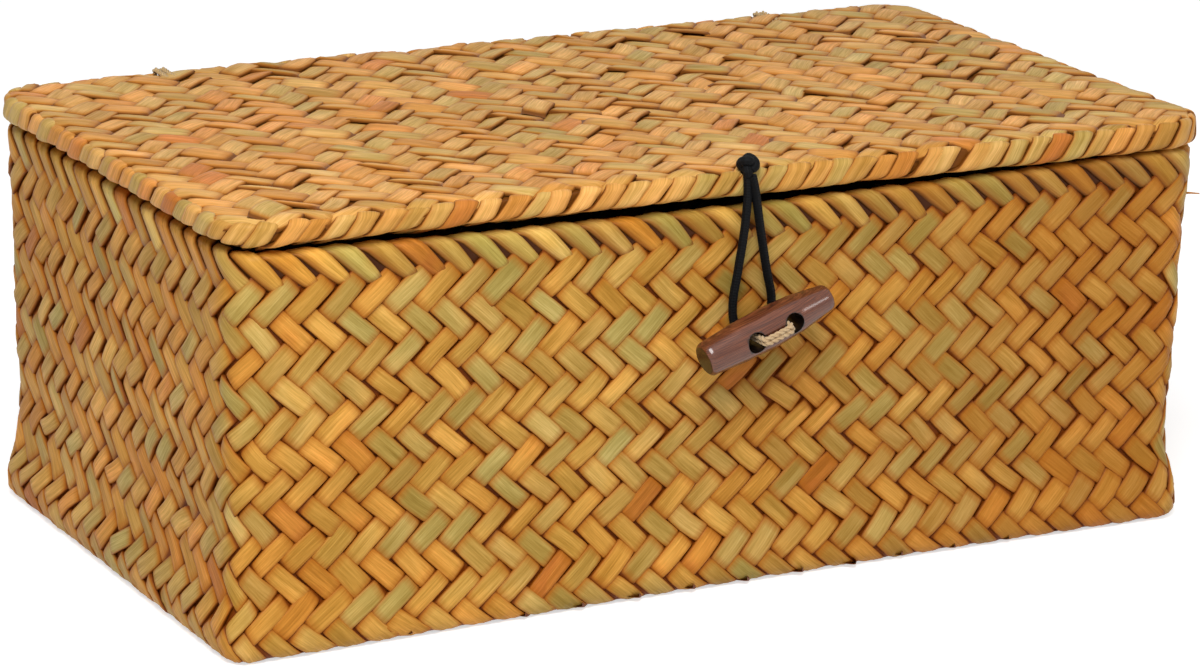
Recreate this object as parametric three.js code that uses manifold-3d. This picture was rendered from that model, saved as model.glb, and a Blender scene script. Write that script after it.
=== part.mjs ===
// A lidded box plaited from seagrass, shut by a loop of elastic cord over a wooden toggle.
// Millimetres, +Z up, +X to the right, the front towards -Y. The origin is the middle of the underside.

import * as THREE from 'three';
import * as BufferGeometryUtils from 'three/addons/utils/BufferGeometryUtils.js';
import Module from 'manifold-3d';

const wasm = await Module();
wasm.setup();

// Clearances
const seatGap = 0.3; // between neighbours that touch on the real box
const cutOverrun = 2; // how far a cutting tool runs past what it cuts

// Body of the box, measured over the outer weave at the rim
const boxWidth = 300;
const boxDepth = 162;
const boxHeight = 110.5; // top of the rim at the corners
const rimCornerRadius = 10;
const baseCornerRadius = 7;
const baseEdgeRadius = 4;
const wallWaist = 2.2; // how far the walls draw in below mid height
const sideBow = 2.6; // how far the middle of each long side draws in at the foot
const rimSag = 2; // how far the long rims dip between their corners
const outerWeaveThickness = 2.4;
const innerWeaveThickness = 2.2;
const stripRowHeight = 8.55; // of one row of strips, which lean one way and the other in turn
const stripStep = 9.25; // about, from strip to strip along a row
const stripDip = 0.9; // how far the strips sink along their edges, where one goes under the next

// Rim of the body: the strip ends fold over a flat hoop
const rimFoldHeight = 9;
const rimFoldThickness = 1.5;
const rimFoldProud = 0.3;
const rimHoopHeight = 5.5;

// Lid
const lidOverhang = 2; // how far the lid stands out past the body, all round
const lidCornerRadius = 14;
const lidRimHeight = 9.6;
const lidRimWidth = 9;
const lidRimRoll = 3.4; // radius of the roll's outer side
const lidWrapThickness = 1.6;
const lidWrapReach = 6; // how far the wrap reaches in over the lid's top
const lidTopThickness = 2.2;
const lidUnderThickness = 2;
const lidTopDrop = 0.6; // how far the lid's top lies below the roll's crown
const lidTopSag = 0.8; // how far its middle dips further
const lidColumnWidth = 9.75; // of one column of the lid's strips, which run from front to back
const lidStripStep = 9.3; // from strip to strip along a column

// Toggle and the doubled twine that ties it on
const toggleLength = 40.4;
const toggleRadius = 5.9;
const toggleHoleSpacing = 12.1;
const toggleHoleRadius = 2.9;
const toggleRight = 1.7; // right of the middle
const toggleDrop = 32.6; // below the top of the rim
const toggleTilt = 19.6; // degrees, right end up
const twineWidth = 3.6;
const twineThickness = 1.9;
const twineBendRadius = 1.1;
const tieKnotHalfWidth = 4.5;
const tieKnotHalfHeight = 3.8;
const tieKnotThickness = 4;

// Elastic loop and its knot on the lid's rim
const elasticRadius = 1.2;
const knotRight = -1.5; // left of the middle
const knotHalfWidth = 3;
const knotHalfHeight = 3.5;
const knotHalfDepth = 2.6;
const knotLean = 45; // degrees, how far its tail turns down into the lid's roll
const loopSpread = 6.2; // half the loop's width where it passes behind the toggle
const loopRight = 2.6; // right of the middle, where it passes behind the toggle

// Hinge ties round both back rims, each of two turns of twine side by side
const hingeInset = 50; // in from each side of the box
const hingeTieWidth = 4.4;
const hingeTieThickness = 1.7;
const hingeBendRadius = 1.5;
const hingeHoleDrop = 4; // below the top of the woven wall
const hingeKnotHalfWidth = 3.4;
const hingeKnotHalfDepth = 1.7;
const hingeKnotHalfHeight = 2.2;
const hingeKnotDrop = 4.6; // below the crown of the lid's roll

// How finely the round stretches are stepped
const cornerSteps = 4;
const longSideSteps = 6;
const shortSideSteps = 4;
const twineSides = 8;
const barrelSides = 16;
const knotSides = 12;
const knotBands = 8;
const toggleTieSteps = 44;
const loopSteps = 44;
const hingeTieSteps = 48;

// Turn of the rounded edge where the walls rise from the base
const baseEdgeShares = [0, 0.5, 1];

// Drawing-in of the walls against height, as shares of the wall's height and of the waist.
// The foot flares out.
const waistShares = [
  [0, -0.3],
  [0.08, -0.3],
  [0.17, 0.75],
  [0.3, 1],
  [0.5, 0.55],
  [0.75, 0.3],
  [1, 0],
];

// Rounded top of the rim fold from its side to its crown: inset and drop as shares of half its width
const foldTopShares = [
  [0, 0.8],
  [0.3, 0.24],
  [0.9, 0],
];

// Outline of the toggle from left to right: shares of its half length, then shares of its radius
const toggleOutlineShares = [
  [-1, 0.7],
  [-0.96, 0.82],
  [-0.45, 0.96],
  [0, 1],
  [0.45, 0.92],
  [0.96, 0.65],
  [1, 0.56],
];

// The loop's strands from the lid down to the toggle: how far they have spread apart, how far they have moved
// across from the knot's place to the loop's, and how far down they are
const loopStrandShares = [
  [0.32, 0.3, 0],
  [0.55, 0.5, 0.31],
  [0.88, 0.8, 0.76],
  [1, 1, 1],
];

// The loop's turn below the tie's shank, as shares of its spread
const loopPassShare = 0.92;
const loopLowShare = 0.4;
const loopLowLeftShare = 0.45;
const loopLowRightShare = 0.6;
const loopStartShare = 0.2; // of the lid's rim height, where the strands leave the lid
const loopWallShare = 1.5; // of the toggle's radius, where the wall behind the loop stands furthest out

const wrapCreaseShare = 0.9; // bevel of the lid wrap's inner foot, of the wrap's thickness
const rollBevelShare = 0.3; // of the roll's radius, where its quarter turns stand
const lidSagShare = 0.5; // of the lid's half sizes, where its panels are at their lowest

// Places within one visible stretch of a strip, as shares of a step and of a row
const rightLeanShare = 0.25; // from the start of a step to the stretch's middle, in rows that lean right
const leftLeanShare = 0.75; // and in rows that lean left
const edgeShare = 0.25; // from the stretch's middle to the middle of its long edge

// Derived sizes of the body
const bodyWallThickness = outerWeaveThickness + seatGap + innerWeaveThickness;
const innerWeaveDepth = outerWeaveThickness + seatGap;
const foldWidth = rimFoldProud + bodyWallThickness + rimFoldProud;
const foldPocketWidth = foldWidth - 2 * rimFoldThickness;
const rimHoopThickness = foldPocketWidth - 2 * seatGap;
const wovenWallTop = boxHeight - rimFoldHeight - seatGap;

// Derived places of the lid
const lidBottom = boxHeight + seatGap;
const lidTop = lidBottom + lidRimHeight;
const lidHalfWidth = boxWidth / 2 + lidOverhang;
const lidHalfDepth = boxDepth / 2 + lidOverhang;
const lidTopCeiling = lidTop - lidTopDrop;
const lidTopFloor = lidTopCeiling - lidTopThickness;
const lidUnderCeiling = lidTopFloor - seatGap;
const lidUnderFloor = lidUnderCeiling - lidUnderThickness;
const wrapLegTop = lidUnderFloor - seatGap;

// Colours and finishes
const seagrass = { color: 0xb98d45, roughness: 0.62, metalness: 0 };
const liningSeagrass = { color: 0xa98245, roughness: 0.7, metalness: 0 };
const straw = { color: 0xc2a05c, roughness: 0.8, metalness: 0 };
const splitBamboo = { color: 0xcaa768, roughness: 0.6, metalness: 0 };
const varnishedWood = { color: 0x5a2f20, roughness: 0.3, metalness: 0 };
const jute = { color: 0xc9ac7c, roughness: 0.9, metalness: 0 };
const elasticCord = { color: 0x17171a, roughness: 0.75, metalness: 0 };

const box = new THREE.Group();
const rightward = new THREE.Vector3(1, 0, 0);
const upward = new THREE.Vector3(0, 0, 1);

// A closed body from points and triangles, its faces turned to point out
function closedBody(points, triangles) {
  let sixVolumes = 0;
  for (const [a, b, c] of triangles) {
    const normal = new THREE.Vector3().crossVectors(points[b], points[c]);
    sixVolumes += points[a].dot(normal);
  }
  const outward = sixVolumes < 0 ? triangles.map(([a, b, c]) => [a, c, b]) : triangles;
  const geometry = new THREE.BufferGeometry();
  geometry.setAttribute('position', new THREE.Float32BufferAttribute(points.flatMap((p) => p.toArray()), 3));
  geometry.setIndex(outward.flat());
  return geometry;
}

// Triangles between ring a and ring b, each of count points
function bandTriangles(startA, startB, count) {
  const triangles = [];
  for (let k = 0; k < count; k += 1) {
    const next = (k + 1) % count;
    triangles.push([startA + k, startA + next, startB + k]);
    triangles.push([startA + next, startB + next, startB + k]);
  }
  return triangles;
}

// A solid through rings of points, closed at both ends by fans about their middles
function throughRings(rings) {
  const count = rings[0].length;
  const points = rings.flat();
  const triangles = [];
  for (let ring = 0; ring + 1 < rings.length; ring += 1) {
    triangles.push(...bandTriangles(ring * count, (ring + 1) * count, count));
  }
  for (const [ring, firstPoint] of [[rings[0], 0], [rings.at(-1), (rings.length - 1) * count]]) {
    const middle = points.length;
    points.push(ring.reduce((sum, p) => sum.add(p), new THREE.Vector3()).divideScalar(count));
    for (let k = 0; k < count; k += 1) {
      const corners = [middle, firstPoint + k, firstPoint + ((k + 1) % count)];
      triangles.push(firstPoint === 0 ? [corners[0], corners[2], corners[1]] : corners);
    }
  }
  return closedBody(points, triangles);
}

// A band round the box, through rings that join up again
function roundBand(rings) {
  const count = rings[0].length;
  const triangles = rings.flatMap((ring, r) => {
    return bandTriangles(r * count, ((r + 1) % rings.length) * count, count);
  });
  return closedBody(rings.flat(), triangles);
}

function toManifold(geometry) {
  const merged = geometry.clone();
  merged.deleteAttribute('normal');
  merged.deleteAttribute('uv');
  const closed = BufferGeometryUtils.mergeVertices(merged);
  const vertProperties = new Float32Array(closed.attributes.position.array);
  const triVerts = new Uint32Array(closed.index.array);
  return new wasm.Manifold(new wasm.Mesh({ numProp: 3, vertProperties, triVerts }));
}

function toGeometry(manifold) {
  const mesh = manifold.getMesh();
  const geometry = new THREE.BufferGeometry();
  geometry.setAttribute('position', new THREE.Float32BufferAttribute(mesh.vertProperties, 3));
  geometry.setIndex(Array.from(mesh.triVerts));
  return geometry;
}

function cutAway(geometry, tools) {
  return toGeometry(tools.reduce((left, tool) => left.subtract(toManifold(tool)), toManifold(geometry)));
}

function inCommon(geometry, other) {
  return toGeometry(toManifold(geometry).intersect(toManifold(other)));
}

function joinUp(geometry, others) {
  return toGeometry(others.reduce((whole, other) => whole.add(toManifold(other)), toManifold(geometry)));
}

function addPiece(parent, name, geometry, finish) {
  const shape = geometry.index ? geometry.toNonIndexed() : geometry;
  shape.computeVertexNormals();
  const mesh = new THREE.Mesh(shape, new THREE.MeshStandardMaterial(finish));
  mesh.name = name;
  parent.add(mesh);
  return mesh;
}

// A tube along a flat curve, with flat ends, its width lying along the given direction
function tube(curve, halfWidth, halfThickness, widthAlong, steps) {
  const { normals, binormals } = curve.computeFrenetFrames(steps, false);
  const widthFirst = Math.abs(normals[0].dot(widthAlong)) > Math.abs(binormals[0].dot(widthAlong));
  const [reachX, reachY] = widthFirst ? [halfWidth, halfThickness] : [halfThickness, halfWidth];
  const section = new THREE.Shape();
  for (let side = 0; side < twineSides; side += 1) {
    const turn = (side / twineSides) * 2 * Math.PI;
    const corner = [reachX * Math.cos(turn), reachY * Math.sin(turn)];
    if (side === 0) section.moveTo(...corner);
    else section.lineTo(...corner);
  }
  section.closePath();
  return new THREE.ExtrudeGeometry(section, { steps, bevelEnabled: false, extrudePath: curve });
}

// Straight runs between the given points, with each corner rounded off
function roundedRoute(points, bendRadius) {
  const route = new THREE.CurvePath();
  let from = points[0];
  for (let k = 1; k + 1 < points.length; k += 1) {
    const corner = points[k];
    const back = points[k - 1].clone().sub(corner).normalize().multiplyScalar(bendRadius);
    const ahead = points[k + 1].clone().sub(corner).normalize().multiplyScalar(bendRadius);
    const bendStart = corner.clone().add(back);
    const bendEnd = corner.clone().add(ahead);
    route.add(new THREE.LineCurve3(from, bendStart));
    route.add(new THREE.QuadraticBezierCurve3(bendStart, corner, bendEnd));
    from = bendEnd;
  }
  route.add(new THREE.LineCurve3(from, points.at(-1)));
  return route;
}

function roundBar(radius, length) {
  return new THREE.CylinderGeometry(radius, radius, length, barrelSides);
}

// A soft knot: a flattened ball
function knotBall(halfX, halfY, halfZ) {
  const ball = new THREE.SphereGeometry(1, knotSides, knotBands);
  ball.scale(halfX, halfY, halfZ);
  return ball;
}

// The stations of a rounded rectangle, anticlockwise from above. Each has its place between the corners, its
// outward direction, how strongly the side bows in there and how strongly a sagging rim dips.
function planStations() {
  const stations = [];
  const corners = [[1, 1], [-1, 1], [-1, -1], [1, -1]];
  corners.forEach(([signX, signY], quarter) => {
    for (let step = 0; step <= cornerSteps; step += 1) {
      const turn = ((quarter + step / cornerSteps) * Math.PI) / 2;
      stations.push({ x: signX, y: signY, outX: Math.cos(turn), outY: Math.sin(turn), bow: 0, dip: 0 });
    }
    const [nextX, nextY] = corners[(quarter + 1) % corners.length];
    const long = nextX !== signX;
    const sideSteps = long ? longSideSteps : shortSideSteps;
    const turn = ((quarter + 1) * Math.PI) / 2;
    for (let step = 1; step < sideSteps; step += 1) {
      const share = step / sideSteps;
      const arch = Math.sin(share * Math.PI);
      stations.push({
        x: signX + (nextX - signX) * share,
        y: signY + (nextY - signY) * share,
        outX: Math.cos(turn),
        outY: Math.sin(turn),
        bow: long ? arch : 0,
        dip: arch * (long ? 1 : (boxDepth / boxWidth) ** 2),
      });
    }
  });
  return stations;
}

const stations = planStations();

// The point of a rounded rectangle at a station, a given inset inside its outline
function planPoint(station, halfWidth, halfDepth, cornerRadius, inset, height) {
  const radius = Math.max(cornerRadius - inset, seatGap);
  const x = station.x * (halfWidth - inset - radius) + station.outX * radius;
  const y = station.y * (halfDepth - inset - radius) + station.outY * radius;
  return new THREE.Vector3(x, y, height);
}

// How far the walls draw in at a share of their height
function waistAt(heightShare) {
  const upper = Math.max(1, waistShares.findIndex(([height]) => height >= heightShare));
  const [lowHeight, lowShare] = waistShares[upper - 1];
  const [highHeight, highShare] = waistShares[upper];
  const between = (heightShare - lowHeight) / (highHeight - lowHeight);
  return wallWaist * (lowShare + (highShare - lowShare) * between);
}

// A point of the body at an inset from its outer face. The height is given at the corners.
// The rim's dip fades out downwards.
function bodyPoint(station, inset, cornerHeight) {
  const heightShare = cornerHeight / boxHeight;
  const waist = waistAt(heightShare);
  const cornerRadius = THREE.MathUtils.lerp(baseCornerRadius, rimCornerRadius, heightShare);
  const height = cornerHeight - rimSag * station.dip * heightShare;
  const bowedIn = inset + sideBow * station.bow * (1 - heightShare);
  return planPoint(station, boxWidth / 2 - waist, boxDepth / 2 - waist, cornerRadius, bowedIn, height);
}

function bodyRing(inset, cornerHeight) {
  return stations.map((station) => bodyPoint(station, inset, cornerHeight));
}

// The station at a distance along the rim, from the left end of the front, anticlockwise from above
const rimTurnLength = (rimCornerRadius * Math.PI) / 2;
const rimLength = 4 * (boxWidth / 2 + boxDepth / 2 - 2 * rimCornerRadius + rimTurnLength);

function stationAlong(distance) {
  const corners = [[-1, -1], [1, -1], [1, 1], [-1, 1]];
  let left = THREE.MathUtils.euclideanModulo(distance, rimLength);
  for (const [side, [x, y]] of corners.entries()) {
    const long = side % 2 === 0;
    const run = (long ? boxWidth : boxDepth) - 2 * rimCornerRadius;
    const [nextX, nextY] = corners[(side + 1) % corners.length];
    const turned = Math.min(Math.max(left - run, 0) / rimTurnLength, 1);
    if (turned < 1) {
      const turn = ((side - 1 + turned) * Math.PI) / 2;
      const share = Math.min(left / run, 1);
      const arch = Math.sin(share * Math.PI);
      return {
        x: x + (nextX - x) * share,
        y: y + (nextY - y) * share,
        outX: Math.cos(turn),
        outY: Math.sin(turn),
        bow: long ? arch : 0,
        dip: arch * (long ? 1 : (boxDepth / boxWidth) ** 2),
      };
    }
    left -= run + rimTurnLength;
  }
  return stationAlong(0);
}

// A plait, two over two on the slant: rows of strips that lean one way and the other in turn. Each strip
// shows a stretch that is highest at its middle and shares its six edge points with the stretches round it.
// A point's place comes from its steps along the row, its rows upwards and its inset. Open edges are closed
// towards the nearest of the given ends.
function plaitedBody(rows, steps, stepsRound, place, ends) {
  const points = [];
  const known = new Map();
  const pointAt = (row, step, alongShare) => {
    const turnedStep = stepsRound > 0 ? THREE.MathUtils.euclideanModulo(step, stepsRound) : step;
    const key = [row, turnedStep, alongShare].join();
    if (!known.has(key)) {
      const leansRight = row % 2 === 0;
      const stepsAlong = turnedStep + (leansRight ? rightLeanShare : leftLeanShare) + alongShare;
      const rowsUp = (leansRight ? -alongShare : alongShare) - row;
      known.set(key, points.length);
      points.push(place(stepsAlong, rowsUp, alongShare === 0 ? 0 : stripDip));
    }
    return known.get(key);
  };
  const left = (row, step) => pointAt(row, step, -edgeShare);
  const right = (row, step) => pointAt(row, step, edgeShare);
  const leaningRight = (row, step) => [
    left(row, step),
    left(row - 1, step),
    left(row, step + 1),
    right(row, step),
    right(row + 1, step - 1),
    right(row, step - 1),
  ];
  const leaningLeft = (row, step) => [
    right(row, step),
    left(row, step + 1),
    left(row + 1, step + 1),
    left(row, step),
    right(row, step - 1),
    right(row - 1, step),
  ];
  const triangles = [];
  for (let row = rows[0]; row < rows[1]; row += 1) {
    for (let step = steps[0]; step < steps[1]; step += 1) {
      const around = row % 2 === 0 ? leaningRight(row, step) : leaningLeft(row, step);
      const middle = pointAt(row, step, 0);
      triangles.push(...around.map((corner, k) => [corner, around[(k + 1) % around.length], middle]));
    }
  }
  const edges = triangles.flatMap(([a, b, c]) => [[a, b], [b, c], [c, a]]);
  const paired = new Set(edges.map((edge) => edge.join()));
  const open = edges.filter(([from, to]) => !paired.has([to, from].join()));
  const firstEnd = points.length;
  for (const [from, to] of open) {
    const distances = ends.map((end) => end.distanceTo(points[from]));
    triangles.push([to, from, firstEnd + distances.indexOf(Math.min(...distances))]);
  }
  points.push(...ends);
  return closedBody(points, triangles);
}

// The body's outside as its plaited strips shape it, past the top and the foot of the wall
function plaitedWalls() {
  const stepsRound = Math.round(rimLength / stripStep);
  const rowsDown = Math.ceil(wovenWallTop / stripRowHeight);
  const place = (steps, rowsUp, inset) => {
    const height = wovenWallTop + seatGap + (rowsUp - 0.5) * stripRowHeight;
    return bodyPoint(stationAlong((steps * rimLength) / stepsRound), inset, height);
  };
  const ends = [new THREE.Vector3(0, 0, boxHeight), new THREE.Vector3(0, 0, -2 * stripRowHeight)];
  return plaitedBody([-1, rowsDown + 1], [0, stepsRound], stepsRound, place, ends);
}

// The rings of a body surface that lies a given depth inside the outer face, from the base up to the top.
// Above the base's edge it can stand proud, for the plait to be shaped from it.
function wallRings(depth, top, proud) {
  const rings = [];
  const bend = baseEdgeRadius - depth;
  if (bend > seatGap) {
    for (const turnShare of baseEdgeShares) {
      const turn = (turnShare * Math.PI) / 2;
      rings.push(bodyRing(baseEdgeRadius - bend * Math.sin(turn), baseEdgeRadius - bend * Math.cos(turn)));
    }
  } else {
    rings.push(bodyRing(depth, depth));
  }
  for (const [heightShare] of waistShares) {
    const height = heightShare * boxHeight;
    if (height > baseEdgeRadius && height < top) rings.push(bodyRing(depth - proud, height));
  }
  rings.push(bodyRing(depth - proud, top));
  return rings;
}

// One woven layer of the body, open at the top
function wovenPot(outerDepth, thickness, proud) {
  const outside = wallRings(outerDepth, wovenWallTop, proud);
  const inside = wallRings(outerDepth + thickness, wovenWallTop, 0);
  return throughRings([...outside, ...inside.reverse()]);
}

// A band round the body's rim, from a section of insets and heights below the rim's top
function bodyRimBand(section) {
  return roundBand(section.map(([inset, below]) => bodyRing(inset, boxHeight - below)));
}

// Where the toggle stands in front of the wall: the loop and the tie's legs pass behind it
const toggleHeight = boxHeight - toggleDrop;
const wallFrontY = (height) => -boxDepth / 2 + waistAt(height / boxHeight);
const wallFrontAtToggle = wallFrontY(toggleHeight);
const wallInnerAtToggle = wallFrontAtToggle + bodyWallThickness;
const loopRunY = wallFrontY(toggleHeight + loopWallShare * toggleRadius) - seatGap - elasticRadius;
const tieLegY = loopRunY - elasticRadius - seatGap - twineThickness / 2;
const toggleAxisY = tieLegY - twineThickness / 2 - seatGap - toggleRadius;
const shankHalfSpread = (twineThickness + seatGap) / 2;
const shankReach = Math.hypot(shankHalfSpread + twineThickness / 2, twineWidth / 2);

function toggleTieHole() {
  const length = bodyWallThickness + 2 * cutOverrun;
  const hole = roundBar(shankReach + seatGap, length);
  return hole.translate(toggleRight, wallFrontAtToggle + bodyWallThickness / 2, toggleHeight);
}

// Places of the hinge ties behind the box
const hingeSpacing = boxWidth - 2 * hingeInset;
const lidBack = lidHalfDepth;
const tieClearance = seatGap + hingeTieThickness / 2;
const tieInnerY = Math.min(lidBack - lidRimWidth, boxDepth / 2 - bodyWallThickness) - tieClearance;
const tieOuterY = lidBack + tieClearance;
const tieTopZ = lidTop + tieClearance;
const hingeDip = rimSag * Math.sin((0.5 + hingeSpacing / 2 / (boxWidth - 2 * rimCornerRadius)) * Math.PI);
const tieHoleZ = wovenWallTop - hingeDip - hingeHoleDrop;
const hingeHoleRadius = Math.hypot(hingeTieWidth / 2, hingeTieThickness / 2) + seatGap;
const hingePlaces = { left: -hingeSpacing / 2, right: hingeSpacing / 2 };

function hingeWallHoles() {
  return Object.values(hingePlaces).map((x) => {
    const hole = roundBar(hingeHoleRadius, tieOuterY - tieInnerY);
    return hole.translate(x, (tieOuterY + tieInnerY) / 2, tieHoleZ);
  });
}

function hingeLidHoles() {
  return Object.values(hingePlaces).map((x) => {
    const hole = roundBar(hingeHoleRadius, lidRimHeight);
    return hole.rotateX(Math.PI / 2).translate(x, tieInnerY, lidTop - lidRimHeight / 2);
  });
}

// The body's two woven layers
function addBodyWeave() {
  const holes = () => [toggleTieHole(), ...hingeWallHoles()];
  const plaited = inCommon(wovenPot(0, outerWeaveThickness, seatGap), plaitedWalls());
  addPiece(box, 'outer_weave', cutAway(plaited, holes()), seagrass);
  const inner = cutAway(wovenPot(innerWeaveDepth, innerWeaveThickness, 0), holes());
  addPiece(box, 'inner_weave', inner, liningSeagrass);
}

// The strip ends that turn over the rim, and the hoop that they hold
function addBodyRim() {
  const outerSide = -rimFoldProud;
  const innerSide = outerSide + foldWidth;
  const pocketOuter = outerSide + rimFoldThickness;
  const pocketInner = innerSide - rimFoldThickness;
  const top = foldTopShares.map(([inward, down]) => [(inward * foldWidth) / 2, (down * foldWidth) / 2]);
  const fold = [
    [outerSide, rimFoldHeight],
    ...top.map(([inset, below]) => [outerSide + inset, below]),
    ...top.reverse().map(([inset, below]) => [innerSide - inset, below]),
    [innerSide, rimFoldHeight],
    [pocketInner, rimFoldHeight],
    [pocketInner, rimFoldThickness],
    [pocketOuter, rimFoldThickness],
    [pocketOuter, rimFoldHeight],
  ];
  addPiece(box, 'rim_fold', bodyRimBand(fold), seagrass);
  const hoopTop = rimFoldThickness + seatGap;
  const hoop = [
    [pocketOuter + seatGap, hoopTop],
    [pocketOuter + seatGap + rimHoopThickness, hoopTop],
    [pocketOuter + seatGap + rimHoopThickness, hoopTop + rimHoopHeight],
    [pocketOuter + seatGap, hoopTop + rimHoopHeight],
  ];
  addPiece(box, 'rim_hoop', bodyRimBand(hoop), splitBamboo);
}

// A ring of the lid at an inset from its outline
function lidRing(inset, height) {
  return stations.map((station) => {
    return planPoint(station, lidHalfWidth, lidHalfDepth, lidCornerRadius, inset, height);
  });
}

// The rolled rim: strips wrapped round a bundle of straw, open towards the lid's panels
function addLidRim() {
  const roll = lidRimRoll;
  const bevel = roll * rollBevelShare;
  const crease = lidWrapThickness * wrapCreaseShare;
  const wrap = [
    [lidRimWidth, wrapLegTop],
    [lidRimWidth, lidBottom + crease],
    [lidRimWidth - crease, lidBottom],
    [roll, lidBottom],
    [bevel, lidBottom + bevel],
    [0, lidBottom + roll],
    [0, lidTop - roll],
    [bevel, lidTop - bevel],
    [roll, lidTop],
    [lidWrapReach, lidTop - lidTopDrop / 2],
    [lidWrapReach, lidTop - lidWrapThickness - lidTopDrop / 2],
    [roll, lidTop - lidWrapThickness],
    [lidWrapThickness, lidTop - roll],
    [lidWrapThickness, lidBottom + roll],
    [roll, lidBottom + lidWrapThickness],
    [lidRimWidth - lidWrapThickness, lidBottom + lidWrapThickness],
    [lidRimWidth - lidWrapThickness, wrapLegTop],
  ];
  const wrapBand = roundBand(wrap.map(([inset, height]) => lidRing(inset, height)));
  addPiece(box, 'lid_rim_wrap', cutAway(wrapBand, [knotTailHole()]), seagrass);

  const coreLeft = lidWrapThickness + seatGap;
  const coreRight = lidRimWidth - lidWrapThickness - seatGap;
  const coreLow = lidBottom + lidWrapThickness + seatGap;
  const coreHigh = lidTopFloor - seatGap;
  const slope = roll - lidWrapThickness;
  const core = [
    [coreLeft + slope, coreLow],
    [coreRight - slope, coreLow],
    [coreRight, coreLow + slope],
    [coreRight, coreHigh - slope],
    [coreRight - slope, coreHigh],
    [coreLeft + slope, coreHigh],
    [coreLeft, coreHigh - slope],
    [coreLeft, coreLow + slope],
  ];
  addPiece(box, 'lid_rim_core', roundBand(core.map(([inset, height]) => lidRing(inset, height))), straw);
}

// A lid panel between two heights, its middle dipping
function lidPanel(inset, floor, ceiling) {
  const dipped = (height) => {
    return lidRing(inset, height).map((spot) => {
      return new THREE.Vector3(spot.x * lidSagShare, spot.y * lidSagShare, height - lidTopSag);
    });
  };
  return throughRings([dipped(floor), lidRing(inset, floor), lidRing(inset, ceiling), dipped(ceiling)]);
}

// How far the lid's panels lie below their edge: they slope down to the middle half
function lidDip(x, y, halfWidth, halfDepth) {
  const edge = Math.max(Math.abs(x) / halfWidth, Math.abs(y) / halfDepth);
  return lidTopSag * THREE.MathUtils.clamp((1 - edge) / lidSagShare, 0, 1);
}

// Everything under the lid's top as its plaited strips shape it, past the panel's edges
function plaitedTop(inset) {
  const halfWidth = lidHalfWidth - inset;
  const halfDepth = lidHalfDepth - inset;
  const place = (steps, rowsUp, below) => {
    const x = rowsUp * lidColumnWidth;
    const y = steps * lidStripStep;
    return new THREE.Vector3(x, y, lidTopCeiling - lidDip(x, y, halfWidth, halfDepth) - below);
  };
  const columns = Math.ceil(halfWidth / lidColumnWidth) + 1;
  const steps = Math.ceil(halfDepth / lidStripStep) + 1;
  const farBelow = new THREE.Vector3(0, 0, -boxWidth);
  return plaitedBody([-columns, columns + 1], [-steps, steps], 0, place, [farBelow]);
}

function addLidPanels() {
  const topInset = lidWrapReach + seatGap;
  const proudPanel = lidPanel(topInset, lidTopFloor, lidTopCeiling + seatGap);
  const top = inCommon(proudPanel, plaitedTop(topInset));
  addPiece(box, 'lid_top_weave', cutAway(top, hingeLidHoles()), seagrass);
  const underInset = lidRimWidth - lidWrapThickness / 2;
  const under = lidPanel(underInset, lidUnderFloor, lidUnderCeiling);
  addPiece(box, 'lid_under_weave', cutAway(under, hingeLidHoles()), liningSeagrass);
}

// The toggle and its tie share a group that stands on the front wall and is tilted with the toggle
function addToggle() {
  const toggleGroup = new THREE.Group();
  toggleGroup.position.set(toggleRight, 0, toggleHeight);
  toggleGroup.rotation.y = THREE.MathUtils.degToRad(-toggleTilt);
  box.add(toggleGroup);

  const half = toggleLength / 2;
  const outline = toggleOutlineShares.map(([along, out]) => [out * toggleRadius, along * half]);
  const profile = [[0, -half], ...outline, [0, half]].map((spot) => new THREE.Vector2(...spot));
  const barrel = new THREE.LatheGeometry(profile, barrelSides).rotateZ(-Math.PI / 2);
  const holes = [-1, 1].map((side) => {
    const hole = roundBar(toggleHoleRadius, 2 * (toggleRadius + cutOverrun));
    return hole.translate((side * toggleHoleSpacing) / 2, 0, 0);
  });
  const toggle = addPiece(toggleGroup, 'toggle', cutAway(barrel, holes), varnishedWood);
  toggle.position.y = toggleAxisY;

  const shankEndY = wallInnerAtToggle + seatGap;
  const legX = toggleHoleSpacing / 2 - (toggleHoleRadius - twineThickness / 2 - seatGap);
  const frontY = toggleAxisY - toggleRadius - seatGap - twineThickness / 2;
  const halfRoute = [
    new THREE.Vector3(shankHalfSpread, shankEndY, 0),
    new THREE.Vector3(shankHalfSpread, tieLegY, 0),
    new THREE.Vector3(legX, tieLegY, 0),
    new THREE.Vector3(legX, frontY, 0),
  ];
  const otherHalf = halfRoute.map((point) => new THREE.Vector3(-point.x, point.y, point.z)).reverse();
  const route = roundedRoute([...halfRoute, ...otherHalf], twineBendRadius);
  const twine = tube(route, twineWidth / 2, twineThickness / 2, upward, toggleTieSteps);
  addPiece(toggleGroup, 'toggle_tie', twine, jute);

  const ball = knotBall(tieKnotHalfWidth, tieKnotThickness / 2, tieKnotHalfHeight);
  const knot = addPiece(toggleGroup, 'toggle_tie_knot', ball, jute);
  knot.position.y = shankEndY + seatGap + tieKnotThickness / 2;
}

// The knot sits on the upper front of the lid's roll. Its tail runs in through the wrap to the core.
const tailLean = THREE.MathUtils.degToRad(knotLean);
const knotSeatY = -lidHalfDepth + lidRimRoll * rollBevelShare;
const knotSeatZ = lidTop - lidRimRoll * rollBevelShare;
const knotCentreY = knotSeatY - Math.cos(tailLean) * (seatGap + knotHalfDepth);
const knotCentreZ = knotSeatZ + Math.sin(tailLean) * (seatGap + knotHalfDepth);
const knotTailLength = knotHalfDepth + seatGap + lidWrapThickness + seatGap;

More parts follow.
